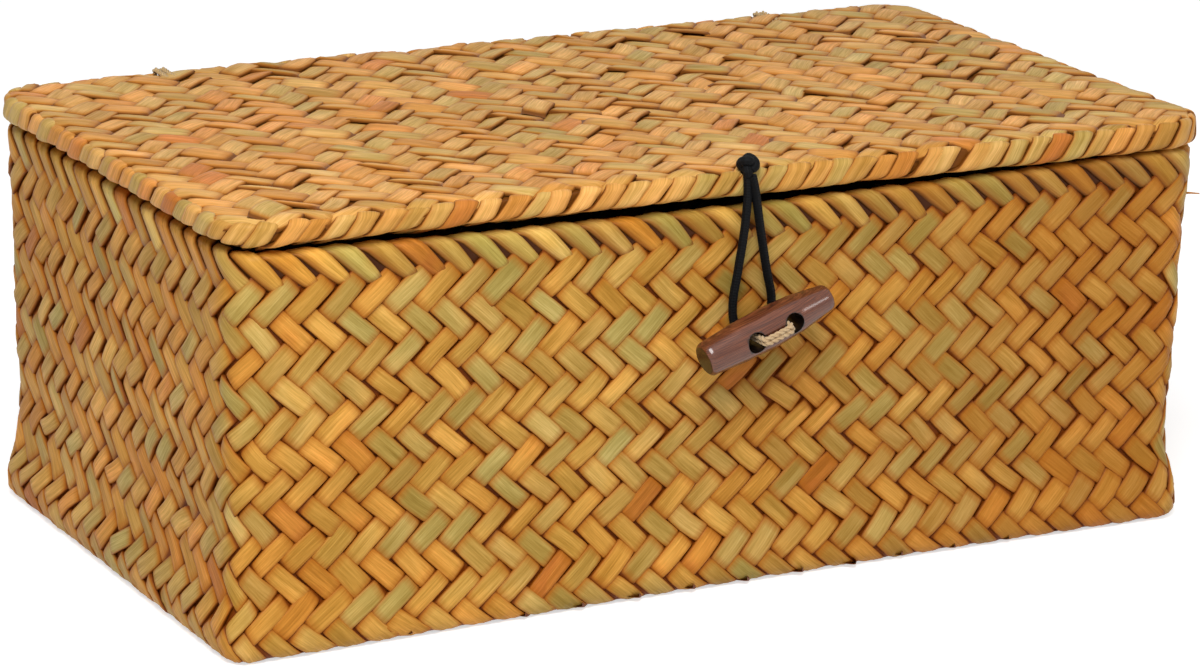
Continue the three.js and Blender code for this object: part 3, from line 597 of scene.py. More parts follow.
def seagrass(name, stops, edge_stain_and_shade, pit_shade, dark_share=0.95, dullness=0.0):
    """Seagrass leaves, dried, flattened and plaited: satin, with fine veins along each strip, and a reddish
    stain towards its edges, which also stands in for the shade there, and painted shade where it goes under
    its neighbours."""
    material, tree = blank_material(name)
    place = attribute(tree, "strip_place", "Vector")
    depth = attribute(tree, "strip_depth", "Fac")
    # Leaf veins stand about 0.5 mm apart and broad creases about 2 mm apart
    fine = veins(tree, place, 9.0, 0.42)
    broad = veins(tree, place, 26.0, 2.1)
    blotch = veins(tree, place, 14.0, 9.0, detail=1.0)
    shade = veins(tree, place, 60.0, 40.0, detail=0.0)
    shifted = add_node(
        tree, "ShaderNodeMath", operation="MULTIPLY_ADD", use_clamp=True, values={1: 0.5, 2: -0.25},
        links={0: blotch},
    )
    tinted = add_node(
        tree, "ShaderNodeMath", operation="ADD", use_clamp=True,
        links={0: attribute(tree, "strip_tint", "Fac"), 1: shifted.outputs[0]},
    )
    colour = hex_ramp(tree, tinted.outputs[0], stops)
    # The leaf is paler where it is light and more golden where it is dark
    for spots, low, dark, high, light in (
        (fine, 0.3, 0.76, 0.7, 1.12), (broad, 0.3, 0.8, 0.62, 1.09), (shade, 0.32, 0.8, 0.68, 1.12),
    ):
        golden = (dark, dark * 0.98, dark * 0.86, 1)
        pale = (light, light * 1.03, light * 1.2, 1)
        colour = multiply_colour(tree, colour, ramp(tree, spots, [(low, golden), (high, pale)]))
    # Towards a strip's edges and ends the stain is partly its own reddish stain and partly painted shade
    # where it turns down; the pit colour is painted shade where it goes under its neighbours and on the dark
    # sheets behind the gaps.
    at_edge = value_ramp(tree, depth, [(0.03, 0.0), (0.3, 0.62), (0.5, 0.85)])
    colour = mix_stain_and_shade(tree, colour, at_edge, edge_stain_and_shade)
    in_pit = value_ramp(tree, depth, [(0.45, 0.0), (0.85, dark_share)])
    colour = mix_stain_and_shade(tree, colour, in_pit, pit_shade)
    height = add_node(
        tree, "ShaderNodeMath", operation="MULTIPLY_ADD", values={1: 0.55}, links={0: fine, 2: broad}
    )
    gloss = add_node(
        tree, "ShaderNodeMapRange", values={1: 0.3, 2: 0.7, 3: 0.58 + dullness, 4: 0.4 + dullness},
        links={0: fine},
    )
    shader = add_node(
        tree, "ShaderNodeBsdfPrincipled", values={"IOR": 1.45, "Specular IOR Level": 0.14},
        links={"Base Color": colour, "Roughness": gloss.outputs[0],
               "Normal": bumped(tree, height.outputs[0], 0.55, 0.22)},
    )
    finish_material(tree, shader)
    return material


def jute(name, light, dark, hidden_twine_shade):
    """Undyed jute yarn, laid in two plies: matt and hairy, its fibres along each ply, with painted shade
    where it is hidden.
    """
    material, tree = blank_material(name)
    # Fibres show about 0.35 mm apart
    fibres = veins(tree, attribute(tree, "strip_place", "Vector"), 2.4, 0.35)
    colour = ramp(tree, fibres, [(0.32, dark), (0.62, light)])
    colour = mix_stain_and_shade(tree, colour, attribute(tree, "strip_depth", "Fac"), hidden_twine_shade)
    shader = add_node(
        tree, "ShaderNodeBsdfPrincipled", values={"Roughness": 0.88, "Sheen Weight": 0.25, "IOR": 1.45},
        links={"Base Color": colour, "Normal": bumped(tree, fibres, 0.8, 0.2)},
    )
    finish_material(tree, shader)
    return material


# The elastic's braid, coarser than real so that it shows. Its chequers repeat every 0.8 mm along the cord and
# eight times round it, twice as often as the waves of each hand
BRAID_PITCH = 1.6
BRAID_YARNS = 4


def elastic(name, colour, seam):
    """Black elastic cord: polyester yarns braided over rubber, which gives a fine chequered, satin skin."""
    material, tree = blank_material(name)
    split = add_node(tree, "ShaderNodeSeparateXYZ", links={0: attribute(tree, "strip_place", "Vector")})
    crossings = []
    for hand in (-1.0, 1.0):
        wound = add_node(
            tree, "ShaderNodeMath", operation="MULTIPLY_ADD",
            values={1: hand * 2 * math.pi / BRAID_PITCH / BRAID_YARNS},
            links={0: split.outputs[0], 2: split.outputs[1]},
        )
        turned = add_node(
            tree, "ShaderNodeMath", operation="MULTIPLY", values={1: BRAID_YARNS}, links={0: wound.outputs[0]}
        )
        wave = add_node(tree, "ShaderNodeMath", operation="SINE", links={0: turned.outputs[0]})
        crossings.append(wave.outputs[0])
    height = add_node(tree, "ShaderNodeMath", operation="MULTIPLY", links={0: crossings[0], 1: crossings[1]})
    half = add_node(
        tree, "ShaderNodeMath", operation="MULTIPLY_ADD", values={1: 0.5, 2: 0.5},
        links={0: height.outputs[0]},
    )
    shader = add_node(
        tree, "ShaderNodeBsdfPrincipled", values={"Roughness": 0.65, "IOR": 1.5, "Specular IOR Level": 0.12},
        links={"Base Color": ramp(tree, half.outputs[0], [(0.0, seam), (1.0, colour)]),
               "Normal": bumped(tree, height.outputs[0], 0.6, 0.15)},
    )
    finish_material(tree, shader)
    return material


def varnished_wood(name, stops, ends_and_bore_shade):
    """Hardwood, turned, planed to soft facets, stained and varnished: dark grain under a glossy coat."""
    material, tree = blank_material(name)
    place = attribute(tree, "strip_place", "Vector")
    # Growth rings show as bands about 1.3 mm wide, and pores as lines 0.28 mm apart
    grain = veins(tree, place, 16.0, 1.3, detail=5.0)
    pores = veins(tree, place, 5.0, 0.28)
    dark_pores = value_ramp(tree, pores, [(0.32, 0.7), (0.5, 1.0)])
    colour = multiply_colour(tree, ramp(tree, grain, stops), dark_pores)
    # The ends are darkened and the bores take painted shade, in one colour
    colour = mix_stain_and_shade(tree, colour, attribute(tree, "strip_depth", "Fac"), ends_and_bore_shade)
    shader = add_node(
        tree, "ShaderNodeBsdfPrincipled",
        values={"Roughness": 0.5, "IOR": 1.5, "Specular IOR Level": 0.15, "Coat Weight": 0.85,
                "Coat Roughness": 0.15},
        links={"Base Color": colour, "Normal": bumped(tree, pores, 0.2, 0.1)},
    )
    finish_material(tree, shader)
    return material


def bare_strips(name, light_hex, dark_hex, spacing):
    """Split bamboo or straw, left bare: pale and dull, with straight fibres a given spacing apart in mm."""
    material, tree = blank_material(name)
    scaled = add_node(
        tree, "ShaderNodeVectorMath", operation="MULTIPLY", values={1: (30.0, 30.0, 1 / (spacing * MM))},
        links={0: add_node(tree, "ShaderNodeTexCoord").outputs["Object"]},
    )
    noise = add_node(
        tree, "ShaderNodeTexNoise", values={"Scale": 1.0, "Detail": 4.0}, links={"Vector": scaled.outputs[0]}
    )
    fibres = noise.outputs["Fac"]
    shader = add_node(
        tree, "ShaderNodeBsdfPrincipled", values={"Roughness": 0.7, "IOR": 1.45},
        links={"Base Color": hex_ramp(tree, fibres, [(0.35, dark_hex), (0.65, light_hex)]),
               "Normal": bumped(tree, fibres, 0.5, 0.2)},
    )
    finish_material(tree, shader)
    return material


# Colours of the strips, from olive khaki over golden tan and orange to rust
WALL_STOPS = [
    (0.0, "#a99244"), (0.2, "#bda14f"), (0.4, "#c89e4a"), (0.56, "#d49f43"), (0.72, "#da9a3c"),
    (0.87, "#d98e32"), (1.0, "#be6e26"),
]
LID_STOPS = [
    (0.0, "#c8a653"), (0.2, "#d8ae57"), (0.4, "#e3ac56"), (0.56, "#ebaa51"), (0.72, "#f0a54b"),
    (0.87, "#ea9640"), (1.0, "#d27c30"),
]
RIM_STOPS = [
    (0.0, "#b5a04a"), (0.2, "#c8ac50"), (0.4, "#d2a74c"), (0.56, "#dda844"), (0.72, "#e2a23c"),
    (0.87, "#de9331"), (1.0, "#c47428"),
]
LINING_STOPS = [(0.0, "#978548"), (0.3, "#ac8f4e"), (0.6, "#b99050"), (0.85, "#b98046"), (1.0, "#a06030")]

# Where the tints of olive, golden and orange, and rust strips lie on those colours
OLIVE_TINTS = (0.08, 0.34)
GOLDEN_TINTS = (0.34, 0.72)
RUST_TINTS = (0.88, 1.0)
OLIVE_SHARE = 0.3
RUST_SHARE = 0.02
TINT_SPREAD = 0.05
TOP_TINT = 0.96


def strip_tints(rng, count, olive_share=OLIVE_SHARE):
    """A tint for each strip: olive, golden or orange, and now and then rust."""
    pick = rng.random(count)
    tint = np.where(pick < olive_share, rng.uniform(*OLIVE_TINTS, count), rng.uniform(*GOLDEN_TINTS, count))
    return np.where(pick > 1 - RUST_SHARE, rng.uniform(*RUST_TINTS, count), tint)


def wall_drift(along, up):
    """How the strips drift in colour round the walls: olive in the middle of the front, browner elsewhere."""
    share = along / BODY_OUTLINE.long_run
    if share > 1:
        return 0.12
    low = 1 - up / BOX_HEIGHT
    ends = 1.3 * max(0.15 - share, 0) + 0.6 * max(share - 0.78, 0)
    olive = 0.17 * (1 - 0.6 * low) * math.exp(-(((share - 0.57) / 0.28) ** 2))
    return 0.12 * low + ends - olive


def wall_stain_and_shade(along):
    """How much browner and darker the strips are towards the right of the front: partly their own colour,
    partly painted shade where the light falls off.
    """
    share = along / BODY_OUTLINE.long_run
    return 0.19 * min(max(share - 0.4, 0) / 0.5, 1) if share < 1 else 0.0


# How unevenly the strips lie: spreads in millimetres and radians, and ranges of shares. The short sides are
# plaited a little looser, and the strips that lean left on them lie lower and are browner, through an edge
# stain that is partly painted shade
STRIP_SHIFT = 0.26
FLOAT_SHIFT_ALONG = 0.12
FLOAT_SHIFT_UP = 0.1
FLOAT_TURN = 0.04
FLOAT_LIFT = 0.08
FLOAT_ROLL = 0.13
FLOAT_CURVE = 0.18
FLOAT_LENGTHS = (0.97, 1.05)
STRIP_WIDTHS = (0.88, 1.04)
FLOAT_WIDTHS = (0.93, 1.02)
FLOAT_STAINS = (-0.02, 0.07)
SHORT_SIDE_UNEVENNESS = 1.7
SHORT_SIDE_STAINS_AND_SHADE = (0.02, 0.14)
SHORT_SIDE_LIFTS = {1: 0.2, -1: -0.08}
SHORT_SIDE_WIDTH_SHARES = {1: 0.92, -1: 1.04}
TOP_ROW_SHIFT = 0.3
TOP_ROW_LIFT = 0.25
TOP_ROW_LENGTH_SHARE = 1.07
# Where a float's middle stands along a step of its row, by the way it leans, and the first strip's number
LEAN_SHARES = {1: 0.25, -1: 0.75}
LEAN_NUMBERS = {1: 0, -1: 200}


def float_measures(spacing, row_height, fill):
    """The length and the half width of a float that goes up one row while it goes along one step."""
    reach = math.hypot(spacing, row_height)
    return reach, 0.5 * spacing * row_height / reach * fill


def plait_wall(strips, settings, rng, top, rows, fill=1.0):
    """Rows of floats round a wall that lean one way and the other in turn: a slanted two-over-two twill."""
    count = settings.strips_round
    spacing = BODY_OUTLINE.length / count
    row_height = settings.row_height / MM
    reach, half_width = float_measures(spacing, row_height, settings.strip_fill * fill)
    tints = {lean: strip_tints(rng, count) for lean in (1, -1)}
    offsets = {lean: rng.normal(0, STRIP_SHIFT, count) for lean in (1, -1)}
    widths = {lean: rng.uniform(*STRIP_WIDTHS, count) for lean in (1, -1)}
    for row in range(rows):
        lean = 1 if row % 2 == 0 else -1
        first = row == 0
        up = top - (row + 0.5) * row_height
        for k in range(count):
            along = (k + LEAN_SHARES[lean]) * spacing
            sideways = lean * (up - top) * spacing / row_height
            strip = round((along - sideways) / spacing - LEAN_SHARES[1]) % count
            tint = tints[lean][strip] if rng.random() < 0.5 else strip_tints(rng, 1)[0]
            short = BODY_OUTLINE.short_side(along)
            uneven = SHORT_SIDE_UNEVENNESS if short else 1.0
            lift = (SHORT_SIDE_LIFTS[lean] if short else 0.0) + TOP_ROW_LIFT * first
            width = half_width * widths[lean][strip] * (SHORT_SIDE_WIDTH_SHARES[lean] if short else 1.0)
            angle = math.atan2(row_height, lean * spacing) + rng.normal(0, FLOAT_TURN * uneven)
            length = reach / 2 * rng.uniform(*FLOAT_LENGTHS) * (TOP_ROW_LENGTH_SHARE if first else 1)
            centre = (
                along + offsets[lean][strip] + rng.normal(0, FLOAT_SHIFT_ALONG),
                up + rng.normal(0, FLOAT_SHIFT_UP) + TOP_ROW_SHIFT * first,
            )
            strips.add(
                centre, (math.cos(angle), math.sin(angle)), (length, width * rng.uniform(*FLOAT_WIDTHS)),
                strip + 0.37 * row + LEAN_NUMBERS[lean],
                np.clip(tint + wall_drift(along, up) + rng.normal(0, TINT_SPREAD), 0, TOP_TINT),
                lift + rng.normal(0, FLOAT_LIFT * uneven), rng.normal(0, FLOAT_ROLL * uneven),
                rng.normal(0, FLOAT_CURVE * uneven),
                wall_stain_and_shade(along) + rng.uniform(*(SHORT_SIDE_STAINS_AND_SHADE if short and lean < 0 else FLOAT_STAINS)),
            )


# The same for the flat panels. The lid's front left corner is looser still, within a reach in millimetres
PANEL_STRIP_SHIFT = 0.2
PANEL_TURN = 0.03
PANEL_LIFT = 0.09
PANEL_ROLL = 0.12
PANEL_CURVE = 0.15
PANEL_LENGTHS = (0.98, 1.05)
PANEL_WIDTHS = (0.9, 1.05)
PANEL_STAINS = (-0.02, 0.08)
PANEL_STRIPS = 400
LOOSE_CORNER = 1.2
LOOSE_CORNER_REACH = 34
LID_ROUGHNESS = 2.5
LID_DRIFT = 0.1


def plait_panel(strips, settings, rng, half_sizes, column_width, spacing, roughness=1.0, drift=0.0):
    """Columns of floats over a flat panel that lean one way and the other in turn. The drift is how far their
    tint falls towards the right."""
    half_width, half_depth = half_sizes
    reach, half = float_measures(spacing, column_width, settings.strip_fill)
    columns = int(half_width / column_width) + 1
    rows = int(half_depth / spacing) + 1
    tints = {lean: strip_tints(rng, PANEL_STRIPS) for lean in (1, -1)}
    offsets = {lean: rng.normal(0, PANEL_STRIP_SHIFT * roughness, PANEL_STRIPS) for lean in (1, -1)}
    for column in range(-columns, columns + 1):
        lean = 1 if column % 2 == 0 else -1
        across = column * column_width
        for k in range(-rows, rows + 1):
            up = (k + LEAN_SHARES[lean]) * spacing
            if abs(across) > half_width or abs(up) > half_depth:
                continue
            strip = round((up - lean * across * spacing / column_width) / spacing) % PANEL_STRIPS
            tint = tints[lean][strip] if rng.random() < 0.45 else strip_tints(rng, 1)[0]
            angle = math.atan2(spacing, lean * column_width) + rng.normal(0, PANEL_TURN * roughness)
            corner = math.hypot(across + half_width, up + half_depth) / LOOSE_CORNER_REACH
            loose = roughness * (1 + LOOSE_CORNER * math.exp(-(corner**2)) * (roughness > 1))
            strips.add(
                (across, up + offsets[lean][strip]), (math.cos(angle), math.sin(angle)),
                (reach / 2 * rng.uniform(*PANEL_LENGTHS), half * rng.uniform(*PANEL_WIDTHS)),
                strip + 0.41 * column,
                np.clip(tint - drift * across / half_width + rng.normal(0, TINT_SPREAD), 0, 1),
                rng.normal(0, PANEL_LIFT * loose), rng.normal(0, PANEL_ROLL * loose),
                rng.normal(0, PANEL_CURVE * loose), rng.uniform(*PANEL_STAINS),
            )


# The end of one strip that has come loose at the front right corner, below the rim
LOOSE_TIP = [
    (BOX_WIDTH / 2 - 5, 8 - BOX_DEPTH / 2, 95), (BOX_WIDTH / 2 - 1, 5 - BOX_DEPTH / 2, 96.2),
    (BOX_WIDTH / 2 + 2.2, 3.5 - BOX_DEPTH / 2, 96),
]
LOOSE_TIP_RADII = (0.55, 0.15)
LOOSE_TIP_TINT = 0.8
LOOSE_TIP_STAIN = 0.15


def loose_tip():
    path = smooth_path(LOOSE_TIP, spacing=0.4, passes=4)
    points, faces, inside = sweep(path, np.linspace(*LOOSE_TIP_RADII, len(path)), sides=8)
    tints, depths = np.full(len(points), LOOSE_TIP_TINT), np.full(len(points), LOOSE_TIP_STAIN)
    return points * MM, faces, inside, tints, depths


def colour_property(name, description, hex_colour):
    return FloatVectorProperty(
        name=name, description=description, size=4, subtype="COLOR", min=0, max=1,
        default=to_linear(hex_colour),
    )


class StripSettings(bpy.types.PropertyGroup):
    """Sizes and stains of the plaited strips."""

    strips_round: IntProperty(
        name="Strips round the box", description="How many strips lean each way round the body",
        default=98, min=40, max=200,
    )
    row_height: FloatProperty(
        name="Row height", description="Height of one row of floats on the walls",
        default=0.00855, unit="LENGTH",
    )
    strip_fill: FloatProperty(
        name="Strip fill", description="Width of a strip as a share of the room it has",
        default=1.0, subtype="FACTOR",
    )
    column_width: FloatProperty(
        name="Column width", description="Width of one column of floats on the lid",
        default=0.00975, unit="LENGTH",
    )
    lid_spacing: FloatProperty(
        name="Lid spacing", description="Distance between floats along a column of the lid",
        default=0.0093, unit="LENGTH",
    )
    wrap_spacing: FloatProperty(
        name="Wrap spacing", description="Distance between the wraps of the lid's rim",
        default=0.0071, unit="LENGTH",
    )
    # The edge colours are partly the strips' own reddish stain and partly painted shade along their edges;
    # the pit colours are painted shade where strips go under others and in the gaps between them.
    wall_edge: colour_property("Wall edge stain and shade", "Stain and painted shade along the edges of the walls' strips", "#a55d10")
    wall_pit_shade: colour_property("Wall pit shade", "Painted shade where the walls' strips go under others", "#703103")
    rim_edge: colour_property("Rim edge stain and shade", "Stain and painted shade along the edges of the body's rim", "#8e4a0e")
    rim_pit_shade: colour_property("Rim pit shade", "Painted shade between the strips of the body's rim", "#3a1804")
    lid_edge: colour_property("Lid edge stain and shade", "Stain and painted shade along the edges of the lid's strips", "#b26e26")
    lid_pit_shade: colour_property("Lid pit shade", "Painted shade where the lid's strips go under others", "#6a380a")
    lining_edge: colour_property(
        "Lining edge stain and shade", "Stain and painted shade along the edges of the linings' strips", "#7d4f22"
    )
    lining_pit_shade: colour_property(
        "Lining pit shade", "Painted shade where the linings' strips go under others", "#351a0c"
    )


class ClosureSettings(bpy.types.PropertyGroup):
    """Sizes and colours of the toggle, its twine, the elastic loop and the hinge ties."""

    ply_radius: FloatProperty(
        name="Ply radius", description="Radius of one ply of the toggle's twine",
        default=0.00047, unit="LENGTH",
    )
    cord_radius: FloatProperty(
        name="Elastic radius", description="Radius of the elastic cord", default=0.0012, unit="LENGTH"
    )
    facets: IntProperty(name="Facets", description="Soft facets round the toggle", default=8, min=5, max=16)
    wood_dark: colour_property("Dark grain", "Darkest grain of the toggle", "#3a1b0d")
    wood_middle: colour_property("Grain", "Usual colour of the toggle", "#61311c")
    wood_light: colour_property("Light grain", "Lightest grain of the toggle", "#8e5030")
    # The bores' dark colour is painted shade; the ends are darkened with the same colour
    wood_ends_and_bore_shade: colour_property("Ends and bore shade", "Colour of the toggle's ends and bores", "#120a07")
    twine_light: colour_property("Twine", "Light fibres of the toggle's twine", "#d2b68c")
    twine_dark: colour_property("Twine shade", "Dark fibres of the toggle's twine", "#ae8a60")
    tie_light: colour_property("Hinge tie", "Light fibres of the hinge ties", "#d6b783")
    tie_dark: colour_property("Hinge tie shade", "Dark fibres of the hinge ties", "#a3804e")
    # Painted shade on the twine where it lies hidden behind the toggle
    hidden_twine_shade: colour_property("Hidden twine shade", "Painted shade on the twine where it is hidden", "#4a3018")
    elastic_colour: colour_property("Elastic", "Colour of the elastic's yarns", "#0b0c0e")
    elastic_seam: colour_property("Elastic seam", "Colour between the elastic's yarns", "#020203")


class StageSettings(bpy.types.PropertyGroup):
    """Camera and studio light."""

    lens: FloatProperty(name="Lens", description="Focal length of the camera in millimetres", default=137.04)
    key_power: FloatProperty(
        name="Key light", description="Power of the key light", default=9.0, unit="POWER"
    )
    fill_power: FloatProperty(
        name="Fill light", description="Power of the fill light", default=1.2, unit="POWER"
    )
    sky: FloatProperty(name="Sky", description="Strength of the even light all round", default=0.33)


def panel_half(inset_x, inset_y):
    """Half sizes of a panel that stays given distances inside the box's outer faces."""
    return BOX_WIDTH / 2 - inset_x, BOX_DEPTH / 2 - inset_y


# Each flat panel of strips and the sheet behind it, dark with painted shade
BASE_PANEL = panel_half(6, 6)
BASE_SHEET = panel_half(4, 4)
LINING_PANEL = panel_half(2, 3)
LINING_SHEET = panel_half(4, 5)
LID_PANEL = (LID_HALF_WIDTH - 1, LID_HALF_DEPTH - 1)
LID_SHEET = (LID_HALF_WIDTH - TOP_EDGE, LID_HALF_DEPTH - TOP_EDGE)
LID_LINING_PANEL = panel_half(3, 3)
LID_LINING_SHEET = panel_half(6, 6)
# The walls' floats start this far above the woven wall's top, under the rim's fold
WALL_START = 0.4
LINING_ROWS = 11
LINING_FILL = 0.98
SHEET_TOP = 101
SHEET_ROUND = 241
FACE_SPAN = np.linspace(-1, 1, 41)


def panel_sheet(place, half_sizes):
    return sheet_arrays(place, FACE_SPAN * half_sizes[0], FACE_SPAN * half_sizes[1])


def lining_material(name, settings):
    return seagrass(name, LINING_STOPS, settings.lining_edge, settings.lining_pit_shade, dullness=0.1)


class WOVENBOX_OT_weave_body(bpy.types.Operator):
    """Plait the body's outer and inner walls and its base"""

    bl_idname = "woven_box.weave_body"
    bl_label = "Weave body"

    def execute(self, context):
        settings = context.scene.woven_box_strips
        row_height = settings.row_height / MM
        spacing = BODY_OUTLINE.length / settings.strips_round
        round_ = np.linspace(0, BODY_OUTLINE.length, SHEET_ROUND)
        # The outer floats run on down to where the rounded foot meets the base
        edge = BASE_EDGE_RADIUS * (1 - math.pi / 2)

        rng = np.random.default_rng(11)
        wall, base = Strips(), Strips()
        plait_wall(wall, settings, rng, WALL_TOP + WALL_START, int((WALL_TOP - edge) / row_height))
        plait_panel(base, settings, rng, BASE_PANEL, row_height, spacing)
        foot = np.linspace(edge, BASE_EDGE_RADIUS, 5)
        heights = np.concatenate([[edge - 3], foot, np.linspace(2 * BASE_EDGE_RADIUS, SHEET_TOP, 25)])
        make_piece(
            "outer_weave_strips",
            [wall.mesh_arrays(outer_wall), base.mesh_arrays(base_below),
             sheet_arrays(outer_wall, round_, heights), panel_sheet(base_below, BASE_SHEET), loose_tip()],
            seagrass("seagrass_wall", WALL_STOPS, settings.wall_edge, settings.wall_pit_shade),
            "box", ["outer_weave"],
        )

        rng = np.random.default_rng(12)
        wall, base = Strips(), Strips()
        plait_wall(wall, settings, rng, WALL_TOP + WALL_START, LINING_ROWS, fill=LINING_FILL)
        plait_panel(base, settings, rng, LINING_PANEL, row_height, spacing)
        make_piece(
            "inner_weave_strips",
            [wall.mesh_arrays(inner_wall), base.mesh_arrays(base_inside),
             sheet_arrays(inner_wall, round_, np.linspace(5, SHEET_TOP, 25)),
             panel_sheet(base_inside, LINING_SHEET)],
            lining_material("seagrass_lining", settings), "box", ["inner_weave"],
        )
        return {"FINISHED"}


# The fold's strips start under the wall's top row and end under the lining. Spreads as for the walls
FOLD_START = -1.8
FOLD_OVERRUN = 1.0
FOLD_OLIVE_SHARE = 0.34
FOLD_SHIFT = 0.2
FOLD_LIFT = 0.08
FOLD_ROLL_SPREAD = 0.1
FOLD_CURVE = 0.4
FOLD_WIDTHS = (0.93, 1.04)
FOLD_STAINS = (0, 0.16)
# How far a strip is rolled over its neighbour and narrows to its start, on the long and on the short sides
FOLD_ROLLS = {False: 0.36, True: 0.05}
FOLD_TAPERS = {False: 0.5, True: 0.1}
FOLD_RELIEF = 1.2


class WOVENBOX_OT_fold_rim(bpy.types.Operator):
    """Turn the strip ends over the body's rim and its bamboo hoop"""

    bl_idname = "woven_box.fold_rim"
    bl_label = "Fold rim"

    def execute(self, context):
        settings = context.scene.woven_box_strips
        rng = np.random.default_rng(21)
        count = settings.strips_round
        spacing = BODY_OUTLINE.length / count
        row_height = settings.row_height / MM
        slope = -spacing / row_height
        reach = math.hypot(slope, 1)
        start, end = FOLD_START, FOLD_RUN + FOLD_OVERRUN
        middle = (start + end) / 2
        heading = (math.cos(math.atan2(1, slope)), math.sin(math.atan2(1, slope)))
        strips = Strips()
        tints = strip_tints(rng, count, olive_share=FOLD_OLIVE_SHARE)
        for k in range(count):
            along = (k + LEAN_SHARES[-1]) * spacing + slope * (middle + row_height / 2 - WALL_START)
            short = BODY_OUTLINE.short_side(along - slope * FOLD_RUN / 2)
            strips.add(
                (along + rng.normal(0, FOLD_SHIFT), middle), heading,
                ((end - start) / 2 * reach, 0.5 * spacing / reach * rng.uniform(*FOLD_WIDTHS)), 600 + k,
                np.clip(tints[k] + wall_drift(k * spacing, BOX_HEIGHT), 0, TOP_TINT),
                rng.normal(0, FOLD_LIFT), FOLD_ROLLS[short] + rng.normal(0, FOLD_ROLL_SPREAD),
                rng.normal(0, FOLD_CURVE), rng.uniform(*FOLD_STAINS) + wall_stain_and_shade(k * spacing),
                FOLD_TAPERS[short],
            )
        rise = FOLD_RISE + wound_rise(np.linspace(-0.7, 1, 18), 0.93)
        round_ = np.linspace(0, BODY_OUTLINE.length, SHEET_ROUND)
        make_piece(
            "rim_fold_strips",
            [strips.mesh_arrays(over_fold, rise=rise, section=LAPPED_SECTION, relief=FOLD_RELIEF),
             sheet_arrays(over_fold, round_, np.linspace(0, FOLD_RUN, 21), lift=RIM_SHEET_LIFT)],
            seagrass("seagrass_rim", RIM_STOPS, settings.rim_edge, settings.rim_pit_shade, dullness=-0.06),
            "box", ["rim_fold"],
        )
        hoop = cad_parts["rim_hoop"]
        hoop.data.materials.clear()
        hoop.data.materials.append(bare_strips("split_bamboo", "#d9bd85", "#b08d52", 0.6))
        return {"FINISHED"}


class WOVENBOX_OT_weave_lid(bpy.types.Operator):
    """Plait the lid's top and underside"""

    bl_idname = "woven_box.weave_lid"
    bl_label = "Weave lid"

    def execute(self, context):
        settings = context.scene.woven_box_strips
        column, spacing = settings.column_width / MM, settings.lid_spacing / MM
        rng = np.random.default_rng(31)
        top = Strips()
        plait_panel(top, settings, rng, LID_PANEL, column, spacing, roughness=LID_ROUGHNESS, drift=LID_DRIFT)
        make_piece(
            "lid_top_strips", [top.mesh_arrays(lid_above), panel_sheet(lid_above, LID_SHEET)],
            seagrass("seagrass_lid", LID_STOPS, settings.lid_edge, settings.lid_pit_shade, dark_share=0.9),
            "lid", ["lid_top_weave"],
        )
        rng = np.random.default_rng(32)
        under = Strips()
        plait_panel(under, settings, rng, LID_LINING_PANEL, column, spacing)
        make_piece(
            "lid_under_strips", [under.mesh_arrays(lid_below), panel_sheet(lid_below, LID_LINING_SHEET)],
            lining_material("seagrass_lid_lining", settings), "lid", ["lid_under_weave"],
        )
        return {"FINISHED"}


# How the wraps slope along the rim, lie over each other and spread
WRAP_SLOPE = 0.62
WRAP_LENGTH_SHARE = 1.02
WRAP_LEAN_SPREAD = 0.035
WRAP_SHIFT = 0.55
WRAP_TINT_SPREAD = 0.16
WRAP_LIFT = 0.18
WRAP_ROLL = -0.25
WRAP_ROLL_SPREAD = 0.14
WRAP_CURVE = 0.7
WRAP_WIDTHS = (0.92, 1.12)
WRAP_STAINS = (-0.02, 0.12)


class WOVENBOX_OT_wrap_lid_rim(bpy.types.Operator):
    """Wind the strips round the straw core of the lid's rim"""

    bl_idname = "woven_box.wrap_lid_rim"
    bl_label = "Wrap lid rim"

    def execute(self, context):
        settings = context.scene.woven_box_strips
        rng = np.random.default_rng(41)
        count = round(LID_OUTLINE.length / (settings.wrap_spacing / MM))
        spacing = LID_OUTLINE.length / count
        reach = math.hypot(WRAP_SLOPE, 1)
        strips = Strips()
        tints = strip_tints(rng, count)
        for k in range(count):
            angle = math.atan2(1, WRAP_SLOPE) + rng.normal(0, WRAP_LEAN_SPREAD)
            strips.add(
                (k * spacing + rng.normal(0, WRAP_SHIFT), WRAP_RUN / 2), (math.cos(angle), math.sin(angle)),
                (WRAP_RUN / 2 * reach * WRAP_LENGTH_SHARE, 0.5 * spacing / reach * rng.uniform(*WRAP_WIDTHS)),
                800 + k, np.clip(tints[k] + rng.normal(0, WRAP_TINT_SPREAD), 0, 1), rng.normal(0, WRAP_LIFT),
                WRAP_ROLL + rng.normal(0, WRAP_ROLL_SPREAD), rng.normal(0, WRAP_CURVE),
                rng.uniform(*WRAP_STAINS),
            )
        rise = wound_rise(np.linspace(-1, 1, 27), 0.95)
        round_ = np.linspace(0, LID_OUTLINE.length, SHEET_ROUND)
        make_piece(
            "lid_rim_wraps",
            [strips.mesh_arrays(over_wrap, rise=rise, section=WOUND_SECTION),
             sheet_arrays(over_wrap, round_, np.linspace(0, WRAP_RUN, 27), lift=RIM_SHEET_LIFT)],
            seagrass("seagrass_wraps", LID_STOPS, settings.lid_edge, settings.lid_pit_shade, dullness=-0.04),
            "lid", ["lid_rim_wrap"],
        )
        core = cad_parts["lid_rim_core"]
        core.data.materials.clear()
        core.data.materials.append(bare_strips("straw", "#d3b877", "#9d7f45", 1.2))
        return {"FINISHED"}


# The toggle in millimetres, in its own space with X along it, and its tilt in degrees
TOGGLE_TILT = 19.6
TOGGLE_HALF = 20.2
TOGGLE_RADIUS = 5.9
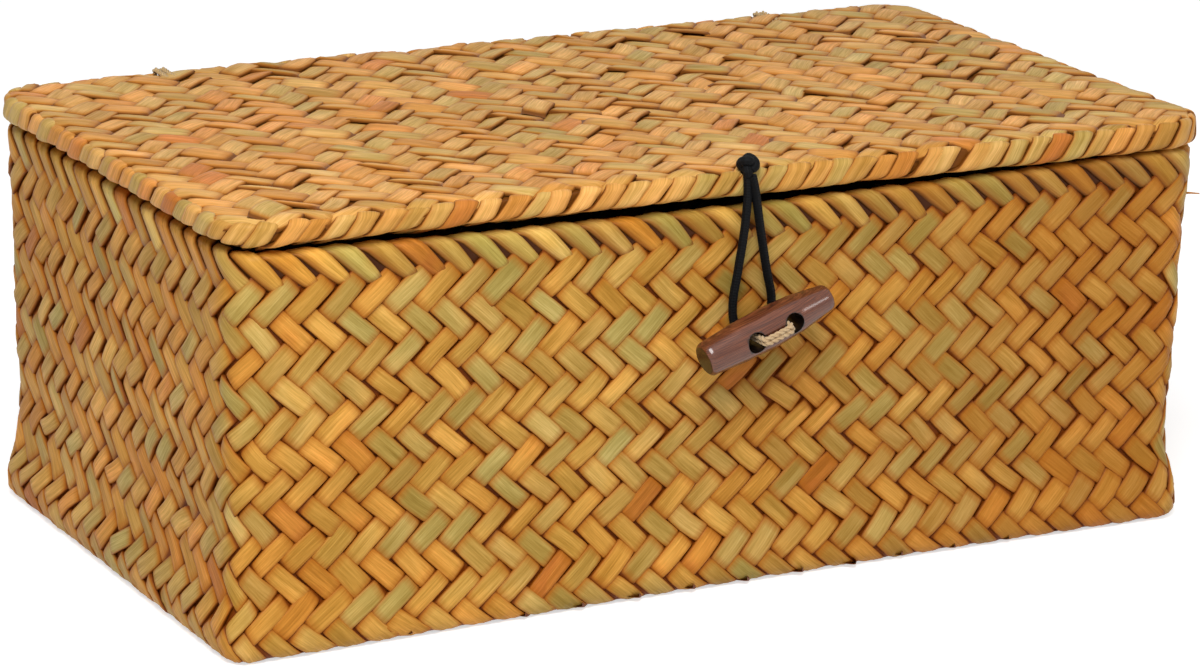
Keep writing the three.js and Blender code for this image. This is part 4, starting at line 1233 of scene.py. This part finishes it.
# Its radius as shares, along shares of its half length
TOGGLE_OUTLINE = [
    (-1, 0.7), (-0.96, 0.82), (-0.45, 0.96), (0, 1), (0.45, 0.92), (0.96, 0.65), (1, 0.56),
]
TOGGLE_SIDES = 96
# The last rings before each end, and how far the end's edge is rounded off
END_SHARES = [0.95, 0.98, 0.995, 1]
END_ROUNDING_SHARES = (0.93, 0.975)
EDGE_ROUNDING = 0.35
FACET_SHARE = 0.32
FACET_TURN = math.radians(11.6)
HOLE_PLACE = 6.05
BORE_RADIUS = 2.9
BORE_RUN = 20
# How dark the toggle's ends are, and the painted shade inside its bores
BORE_SHADE = 1.0
BORE_MARGIN = 0.02
END_DARKENING = 0.92
END_FROM_SHARE = 0.999
# The twine's two turns, side by side across the toggle and through its holes
TWINE_SPREAD = 0.62
TWINE_SAG = 1.5
TWINE_HALF = 0.95
TWINE_LEG = 4.4
TWINE_HOLE = 1.1
TWINE_LAY_RADIUS = 0.34
TWINE_PITCH = 3.4
# A knot's plies: how far from its cord's middle they are laid and how thick they are, as shares of its radius
KNOT_SHARES = (0.48, 0.55)


def toggle_place():
    """Where the toggle's own space stands: its origin on the wall's shank, X along the toggle."""
    low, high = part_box("toggle")
    middle = (low + high) / 2
    turn = Matrix.Rotation(math.radians(-TOGGLE_TILT), 4, "Y")
    return Matrix.Translation(Vector((middle.x, 0, middle.z))) @ turn, middle.y / MM


def into_place(points, place):
    """Millimetre points of a space of their own as metres in the box's frame."""
    points = np.asarray(points, float) * MM
    return points @ np.array(place.to_3x3()).T + np.array(place.translation)


def toggle_bar(place, axis_y, facets):
    """The toggle before it is drilled: turned, thinner towards its ends, and planed to soft facets."""
    ends = np.array(END_SHARES)
    stations = np.concatenate([-ends[::-1], np.linspace(-0.9, 0.9, 33), ends])
    radii = np.interp(stations, *zip(*TOGGLE_OUTLINE)) * TOGGLE_RADIUS
    for step, share in enumerate(END_ROUNDING_SHARES):
        radii[[step, -1 - step]] *= share
    turn = np.arange(TOGGLE_SIDES) / TOGGLE_SIDES * 2 * math.pi
    facet = 2 * math.pi / facets
    flat = np.cos(facet / 2) / np.cos(np.mod(turn + FACET_TURN, facet) - facet / 2)
    planed = 1 - FACET_SHARE + FACET_SHARE * flat
    across = np.repeat(stations * TOGGLE_HALF, TOGGLE_SIDES)
    radii = np.repeat(radii, TOGGLE_SIDES)
    turn = np.tile(turn, len(stations))
    planed = np.tile(planed, len(stations))
    points = np.stack(
        [across, radii * planed * np.cos(turn) + axis_y, radii * planed * np.sin(turn)], axis=-1
    )
    inside = np.stack([across, radii * np.cos(turn), radii * np.sin(turn)], axis=-1)
    number = np.arange(len(across)).reshape(-1, TOGGLE_SIDES)
    beside = np.roll(number, -1, axis=1)
    faces = np.stack([number[:-1], beside[:-1], beside[1:], number[1:]], axis=-1).reshape(-1, 4).tolist()
    faces += [number[0].tolist(), number[-1][::-1].tolist()]
    return into_place(points, place), faces, inside


def apply_modifiers(piece):
    graph = bpy.context.evaluated_depsgraph_get()
    mesh = bpy.data.meshes.new_from_object(
        piece.evaluated_get(graph), preserve_all_data_layers=True, depsgraph=graph
    )
    piece.modifiers.clear()
    piece.data = mesh


def drill_hole(piece, place, across, axis_y):
    """Cuts one hole through the toggle from front to back."""
    shape = bmesh.new()
    bmesh.ops.create_cone(
        shape, cap_ends=True, segments=32, radius1=BORE_RADIUS * MM, radius2=BORE_RADIUS * MM,
        depth=BORE_RUN * MM,
    )
    bmesh.ops.rotate(shape, verts=shape.verts, cent=(0, 0, 0), matrix=Matrix.Rotation(math.pi / 2, 3, "X"))
    bmesh.ops.translate(shape, verts=shape.verts, vec=(across * MM, axis_y * MM, 0))
    cutter = bpy.data.meshes.new("hole")
    shape.to_mesh(cutter)
    shape.free()
    cutter.transform(place)
    tool = bpy.data.objects.new("hole", cutter)
    bpy.context.scene.collection.objects.link(tool)
    change = piece.modifiers.new("hole", "BOOLEAN")
    change.object, change.operation, change.solver = tool, "DIFFERENCE", "EXACT"
    apply_modifiers(piece)
    bpy.data.objects.remove(tool)


def darken_ends(piece, place):
    """Darkens the toggle's end faces, and paints shade into the inside of its two holes."""
    points = np.empty(len(piece.data.vertices) * 3, dtype=np.float32)
    piece.data.vertices.foreach_get("co", points)
    points = (points.reshape(-1, 3) - np.array(place.translation)) @ np.array(place.to_3x3()) / MM
    away = np.hypot(np.abs(points[:, 0]) - HOLE_PLACE, points[:, 2])
    # Darker ends, and painted shade inside the bores
    stain = np.where(np.abs(points[:, 0]) > END_FROM_SHARE * TOGGLE_HALF, END_DARKENING, 0)
    stain = np.where(away < BORE_RADIUS + BORE_MARGIN, BORE_SHADE, stain).astype(np.float32)
    piece.data.attributes["strip_depth"].data.foreach_set("value", stain)


def toggle_twine(place, axis_y, ply_radius):
    """The twine's plies: from the wall out behind the toggle, through a hole, across its front and back."""
    low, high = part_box("toggle_tie")
    front_y = low.y / MM + TWINE_HALF
    end_y = high.y / MM
    leg_y = axis_y + TOGGLE_RADIUS + SEAT_GAP + TWINE_HALF
    plies = []
    for offset in (-TWINE_SPREAD, TWINE_SPREAD):
        sag = offset - TWINE_SAG
        half = [
            (TWINE_HOLE, end_y, offset), (TWINE_HOLE, end_y - 4, sag), (TWINE_HOLE, leg_y, sag),
            (TWINE_LEG, leg_y, sag), (TWINE_LEG, leg_y - 3, offset), (TWINE_LEG, front_y, offset),
        ]
        route = half + [(-x, y, z) for x, y, z in reversed(half)]
        path = smooth_path(route, spacing=0.25, passes=14)
        for line in laid_strands(path, TWINE_LAY_RADIUS, 2, TWINE_PITCH, start=offset):
            points, faces, inside = sweep(line, ply_radius, sides=8)
            # Painted shade on the plies behind the toggle, darker the further back they lie
            behind = np.clip((points[:, 1] - axis_y) / TOGGLE_RADIUS, 0, 1)
            plies.append((into_place(points, place), faces, inside, np.full(len(points), 0.5), behind))
    return plies


def knot_parts(low, high, radius, strands):
    """An overhand knot pulled tight inside a box of metres. The cord's radius is in millimetres."""
    middle = (np.array(low) + np.array(high)) / 2 / MM
    half = (np.array(high) - np.array(low)) / 2 / MM
    turn = np.linspace(0, 2 * math.pi, 120)[:-1]
    trefoil = [np.sin(turn) + 2 * np.sin(2 * turn), -np.sin(3 * turn), np.cos(turn) - 2 * np.cos(2 * turn)]
    loops = np.stack(trefoil, axis=-1) * (np.maximum(half - radius, 0.2) / np.array([3.0, 1.0, 3.0]))
    loops = middle + loops
    if strands == 1:
        points, faces, inside = sweep(loops, radius, sides=12, closed=True)
        return [(points * MM, faces, inside)]
    parts = []
    lay_share, ply_share = KNOT_SHARES
    for line in laid_strands(np.concatenate([loops, loops[:1]]), radius * lay_share, strands, TWINE_PITCH):
        points, faces, inside = sweep(line, radius * ply_share, sides=8)
        parts.append((points * MM, faces, inside))
    return parts


class WOVENBOX_OT_make_toggle(bpy.types.Operator):
    """Turn the wooden toggle and tie it on with doubled twine"""

    bl_idname = "woven_box.make_toggle"
    bl_label = "Make toggle"

    def execute(self, context):
        settings = context.scene.woven_box_closure
        place, axis_y = toggle_place()
        grain = [(0.3, settings.wood_dark), (0.5, settings.wood_middle), (0.72, settings.wood_light)]
        wood = varnished_wood("varnished_hardwood", grain, settings.wood_ends_and_bore_shade)
        bar = toggle_bar(place, axis_y, settings.facets)
        piece = make_piece("toggle_bar", [bar], wood, None)
        for across in (-HOLE_PLACE, HOLE_PLACE):
            drill_hole(piece, place, across, axis_y)
        darken_ends(piece, place)
        bevel = piece.modifiers.new("edge", "BEVEL")
        bevel.width, bevel.segments = EDGE_ROUNDING * MM, 2
        bevel.limit_method, bevel.angle_limit = "ANGLE", math.radians(50)
        apply_modifiers(piece)
        piece.data.set_sharp_from_angle(angle=math.radians(35))
        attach(piece, "toggle")
        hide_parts("toggle")

        twine = jute("jute_twine", settings.twine_light, settings.twine_dark, settings.hidden_twine_shade)
        plies = toggle_twine(place, axis_y, settings.ply_radius / MM)
        make_piece("toggle_twine", plies, twine, "toggle", ["toggle_tie"])
        low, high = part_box("toggle_tie_knot")
        make_piece(
            "toggle_twine_knot", knot_parts(low, high, 1.0, 2), twine, "toggle", ["toggle_tie_knot"]
        )
        return {"FINISHED"}


# The elastic's knot: how far its middle lies behind its front and below its top, how far it reaches to both
# sides of that, the radius of its cord and the way its tail goes
KNOT_MIDDLE_IN = 2.6
KNOT_MIDDLE_DOWN = 3.8
KNOT_BELOW = (3.1, 2.7, 3.9)
KNOT_ABOVE = (3.1, 2.7, 3.8)
KNOT_RADIUS = 1.35
KNOT_TAIL = (0, 3.2, -3.2)


def loop_route(radius, knot):
    """The elastic's route from its knot down behind the toggle and back up, in millimetres."""
    low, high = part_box("closure_loop")
    spread = (high.x - low.x) / 2 / MM - radius
    middle = (high.x + low.x) / 2 / MM
    run_y = high.y / MM - radius
    lowest = low.z / MM + radius
    legs = []
    for side in (-1, 1):
        legs.append([
            (knot + side * 0.45, -85.2 - side * 0.5, 118.6),
            (knot + 0.7 + side * 0.8, -85.2 - side * 0.5, 115.2),
            (knot + 1.2 + side * spread * 0.19, -84.8 - side * 0.3, 111.8),
            (knot + 2.1 + side * spread * 0.38, -84.0, 103.4),
            (knot + 3.3 + side * spread * 0.74, -82.6, 90.1),
            (middle + side * spread, run_y, 82.8),
            (middle + side * spread * 0.92, run_y, 76.2),
            (middle + side * spread * 0.5, run_y, lowest + 1.3),
        ])
    return legs[0] + [(middle - 0.4, run_y, lowest)] + legs[1][::-1]


class WOVENBOX_OT_make_closure(bpy.types.Operator):
    """Knot the elastic loop onto the lid's rim and hang it behind the toggle"""

    bl_idname = "woven_box.make_closure"
    bl_label = "Make closure"

    def execute(self, context):
        settings = context.scene.woven_box_closure
        radius = settings.cord_radius / MM
        material = elastic("braided_elastic", settings.elastic_colour, settings.elastic_seam)
        low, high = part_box("closure_knot")
        centre = [(low.x + high.x) / 2, low.y + KNOT_MIDDLE_IN * MM, high.z - KNOT_MIDDLE_DOWN * MM]
        centre = np.array(centre) / MM
        path = smooth_path(loop_route(radius, centre[0]), spacing=0.5, passes=40)
        points, faces, inside = sweep(path, radius, sides=16)
        make_piece(
            "closure_loop_cord", [(points * MM, faces, inside)], material, "loop", ["closure_loop"]
        )

        middle = Vector(centre * MM)
        low, high = middle - Vector(KNOT_BELOW) * MM, middle + Vector(KNOT_ABOVE) * MM
        ball = knot_parts(low, high, KNOT_RADIUS, 1)
        tail = smooth_path([centre, centre + np.array(KNOT_TAIL)], spacing=0.5, passes=2)
        points, faces, inside = sweep(tail, radius, sides=12)
        make_piece(
            "closure_cord_knot", ball + [(points * MM, faces, inside)], material, "lid",
            ["closure_knot"],
        )
        return {"FINISHED"}


# The hinge ties: two turns of twine side by side, each laid from two plies
TIE_SPREAD = 1.1
TIE_HALF = 0.85
TIE_LAY_RADIUS = 0.38
TIE_PLY_RADIUS = 0.43
TIE_PITCH = 3.2
TIE_KNOT_RADIUS = 0.95
TIE_KNOT_REACH = 2.5


def tie_plies(middle, box, knot_z):
    """The plies of one hinge tie: from its knot up over the lid's rim, down inside and out at the back."""
    low, high = box
    inner, outer = low.y / MM + TIE_HALF, high.y / MM - TIE_HALF
    bottom, top = low.z / MM + TIE_HALF, high.z / MM - TIE_HALF
    plies = []
    for offset in (-TIE_SPREAD, TIE_SPREAD):
        x = middle + offset
        at_knot = (middle + offset * 0.3, outer + 0.7, knot_z)
        corners = [
            at_knot, (x, outer, knot_z + TIE_KNOT_REACH), (x, outer, top - 1.5), (x, inner, top - 2.3),
            (x, inner, bottom), (x, outer, bottom), (x, outer, knot_z - TIE_KNOT_REACH), at_knot,
        ]
        path = smooth_path(corners, spacing=0.3, passes=22)
        for line in laid_strands(path, TIE_LAY_RADIUS, 2, TIE_PITCH, start=offset):
            points, faces, inside = sweep(line, TIE_PLY_RADIUS, sides=8)
            plies.append((points * MM, faces, inside))
    return plies


class WOVENBOX_OT_tie_hinges(bpy.types.Operator):
    """Tie the lid to the body's back rim at two places"""

    bl_idname = "woven_box.tie_hinges"
    bl_label = "Tie hinges"

    def execute(self, context):
        settings = context.scene.woven_box_closure
        twine = jute("jute_tie", settings.tie_light, settings.tie_dark, settings.hidden_twine_shade)
        for name in ("left", "right"):
            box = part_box(f"hinge_tie_{name}")
            middle = (box[0].x + box[1].x) / 2 / MM
            knot_low, knot_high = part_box(f"hinge_knot_{name}")
            plies = tie_plies(middle, box, (knot_low.z + knot_high.z) / 2 / MM)
            tie = make_piece(f"hinge_twine_{name}", plies, twine, None)
            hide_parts(f"hinge_tie_{name}")
            # The twine passes from the body to the lid within 2.5 mm of the hinge's axis
            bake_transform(tie)
            make_piece(
                f"hinge_twine_knot_{name}", knot_parts(knot_low, knot_high, TIE_KNOT_RADIUS, 2), twine, "lid",
                [f"hinge_knot_{name}"],
            )
        return {"FINISHED"}


# Where the picture was taken from: turn about the box, height of view and roll in degrees, and the place in
# millimetres
VIEW_AZIMUTH = -28.86
VIEW_ELEVATION = 16.37
VIEW_ROLL = 1.48
VIEW_PLACE = (-605.5, -1100.6, 420.6)

# The stage, in metres: the floor, which lies a hair below the box, and the lamps with their places and sizes
FLOOR_HALF = 8.0
FLOOR_DROP = 0.0002
FLOOR_GLOW = 0.62
KEY_PLACE = (-0.41, -0.66, 0.84)
KEY_SIZE = 0.5
FILL_PLACE = (0.8, -1.12, 0.9)
FILL_SIZE = 0.24
LIT_PLACE = (0, 0, 0.06)


def seen_directly(tree):
    """1 for rays that show the backdrop itself, in the picture, in a gloss or through glass, and else 0."""
    ray = add_node(tree, "ShaderNodeLightPath").outputs
    seen = ray["Is Camera Ray"]
    for other in ("Is Glossy Ray", "Is Transmission Ray"):
        node = add_node(tree, "ShaderNodeMath", operation="MAXIMUM", links={0: seen, 1: ray[other]})
        seen = node.outputs[0]
    return seen


def set_camera(scene, lens):
    azimuth, elevation, roll = (math.radians(v) for v in (VIEW_AZIMUTH, VIEW_ELEVATION, VIEW_ROLL))
    level = math.cos(elevation)
    forward = Vector((-math.sin(azimuth) * level, math.cos(azimuth) * level, -math.sin(elevation)))
    rightward = Vector((math.cos(azimuth), math.sin(azimuth), 0))
    upward = rightward.cross(forward)
    x_axis = math.cos(roll) * rightward + math.sin(roll) * upward
    y_axis = -math.sin(roll) * rightward + math.cos(roll) * upward
    data = bpy.data.cameras.new("photo_view")
    data.sensor_fit, data.sensor_width, data.lens = "HORIZONTAL", 36.0, lens
    data.clip_start, data.clip_end = 0.05, 50.0
    camera = bpy.data.objects.new("photo_view", data)
    turn = Matrix((x_axis, y_axis, -forward)).transposed().to_4x4()
    camera.matrix_world = Matrix.Translation(Vector(VIEW_PLACE) * MM) @ turn
    scene.collection.objects.link(camera)
    scene.camera = camera


def lay_floor(scene):
    """A matt, pale paper floor, which glows to white where it is seen and keeps the box's shadow."""
    material, tree = blank_material("pale_floor")
    strength = add_node(
        tree, "ShaderNodeMath", operation="MULTIPLY", values={1: FLOOR_GLOW}, links={0: seen_directly(tree)}
    )
    glow = add_node(
        tree, "ShaderNodeEmission", values={"Color": (1, 1, 1, 1)}, links={"Strength": strength.outputs[0]}
    )
    paper = add_node(tree, "ShaderNodeBsdfDiffuse", values={"Color": (0.82, 0.82, 0.82, 1)})
    both = add_node(tree, "ShaderNodeAddShader", links={0: paper.outputs[0], 1: glow.outputs[0]})
    finish_material(tree, both)
    mesh = bpy.data.meshes.new("floor")
    shape = bmesh.new()
    bmesh.ops.create_grid(shape, x_segments=1, y_segments=1, size=FLOOR_HALF)
    bmesh.ops.translate(shape, verts=shape.verts, vec=(0, 0, -FLOOR_DROP))
    shape.to_mesh(mesh)
    shape.free()
    mesh.materials.append(material)
    floor = bpy.data.objects.new("floor", mesh)
    scene.collection.objects.link(floor)


def set_sky(scene, strength):
    """An even pale light all round, white where it is seen."""
    world = bpy.data.worlds.new("studio")
    world.use_nodes = True
    tree = world.node_tree
    tree.nodes.clear()
    seen = add_node(
        tree, "ShaderNodeMapRange", values={3: strength, 4: 1.0}, links={0: seen_directly(tree)}
    )
    sky = add_node(
        tree, "ShaderNodeBackground", values={"Color": (1, 1, 1, 1)}, links={"Strength": seen.outputs[0]}
    )
    add_node(tree, "ShaderNodeOutputWorld", links={"Surface": sky.outputs[0]})
    scene.world = world


def hang_lamp(scene, name, place, size, power):
    data = bpy.data.lights.new(name, "AREA")
    data.shape, data.size, data.energy = "DISK", size, power
    lamp = bpy.data.objects.new(name, data)
    lamp.location = place
    lamp.rotation_euler = (Vector(LIT_PLACE) - Vector(place)).to_track_quat("-Z", "Y").to_euler()
    scene.collection.objects.link(lamp)


class WOVENBOX_OT_set_stage(bpy.types.Operator):
    """Set the camera, the pale floor and the soft light"""

    bl_idname = "woven_box.set_stage"
    bl_label = "Set stage"

    def execute(self, context):
        settings = context.scene.woven_box_stage
        set_camera(context.scene, settings.lens)
        lay_floor(context.scene)
        set_sky(context.scene, settings.sky)
        hang_lamp(context.scene, "key_light", KEY_PLACE, KEY_SIZE, settings.key_power)
        hang_lamp(context.scene, "fill_light", FILL_PLACE, FILL_SIZE, settings.fill_power)
        context.scene.view_settings.view_transform = "Standard"
        return {"FINISHED"}


class WOVENBOX_PT_panel(bpy.types.Panel):
    """Pieces of the woven box and the sizes behind them"""

    bl_label = "Woven box"
    bl_idname = "WOVENBOX_PT_panel"
    bl_space_type = "VIEW_3D"
    bl_region_type = "UI"
    bl_category = "Woven box"

    def draw(self, context):
        for operator in OPERATORS:
            self.layout.operator(operator.bl_idname)
        for holder in GROUPS:
            group = getattr(context.scene, holder)
            for name in group.__annotations__:
                self.layout.prop(group, name)


OPERATORS = (
    WOVENBOX_OT_set_stage,
    WOVENBOX_OT_weave_body,
    WOVENBOX_OT_fold_rim,
    WOVENBOX_OT_weave_lid,
    WOVENBOX_OT_wrap_lid_rim,
    WOVENBOX_OT_make_toggle,
    WOVENBOX_OT_make_closure,
    WOVENBOX_OT_tie_hinges,
)
GROUPS = {
    "woven_box_strips": StripSettings,
    "woven_box_closure": ClosureSettings,
    "woven_box_stage": StageSettings,
}


def register():
    for name, group in GROUPS.items():
        bpy.utils.register_class(group)
        setattr(bpy.types.Scene, name, PointerProperty(type=group))
    for operator in OPERATORS:
        bpy.utils.register_class(operator)
    bpy.utils.register_class(WOVENBOX_PT_panel)


def unregister():
    bpy.utils.unregister_class(WOVENBOX_PT_panel)
    for operator in reversed(OPERATORS):
        bpy.utils.unregister_class(operator)
    for name, group in GROUPS.items():
        delattr(bpy.types.Scene, name)
        bpy.utils.unregister_class(group)


def main():
    register()
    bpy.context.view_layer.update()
    for operator in OPERATORS:
        name = operator.bl_idname.split(".")[1]
        if getattr(bpy.ops.woven_box, name)() != {"FINISHED"}:
            raise RuntimeError(f"{operator.bl_label} did not finish")


if __name__ == "__main__":
    main()
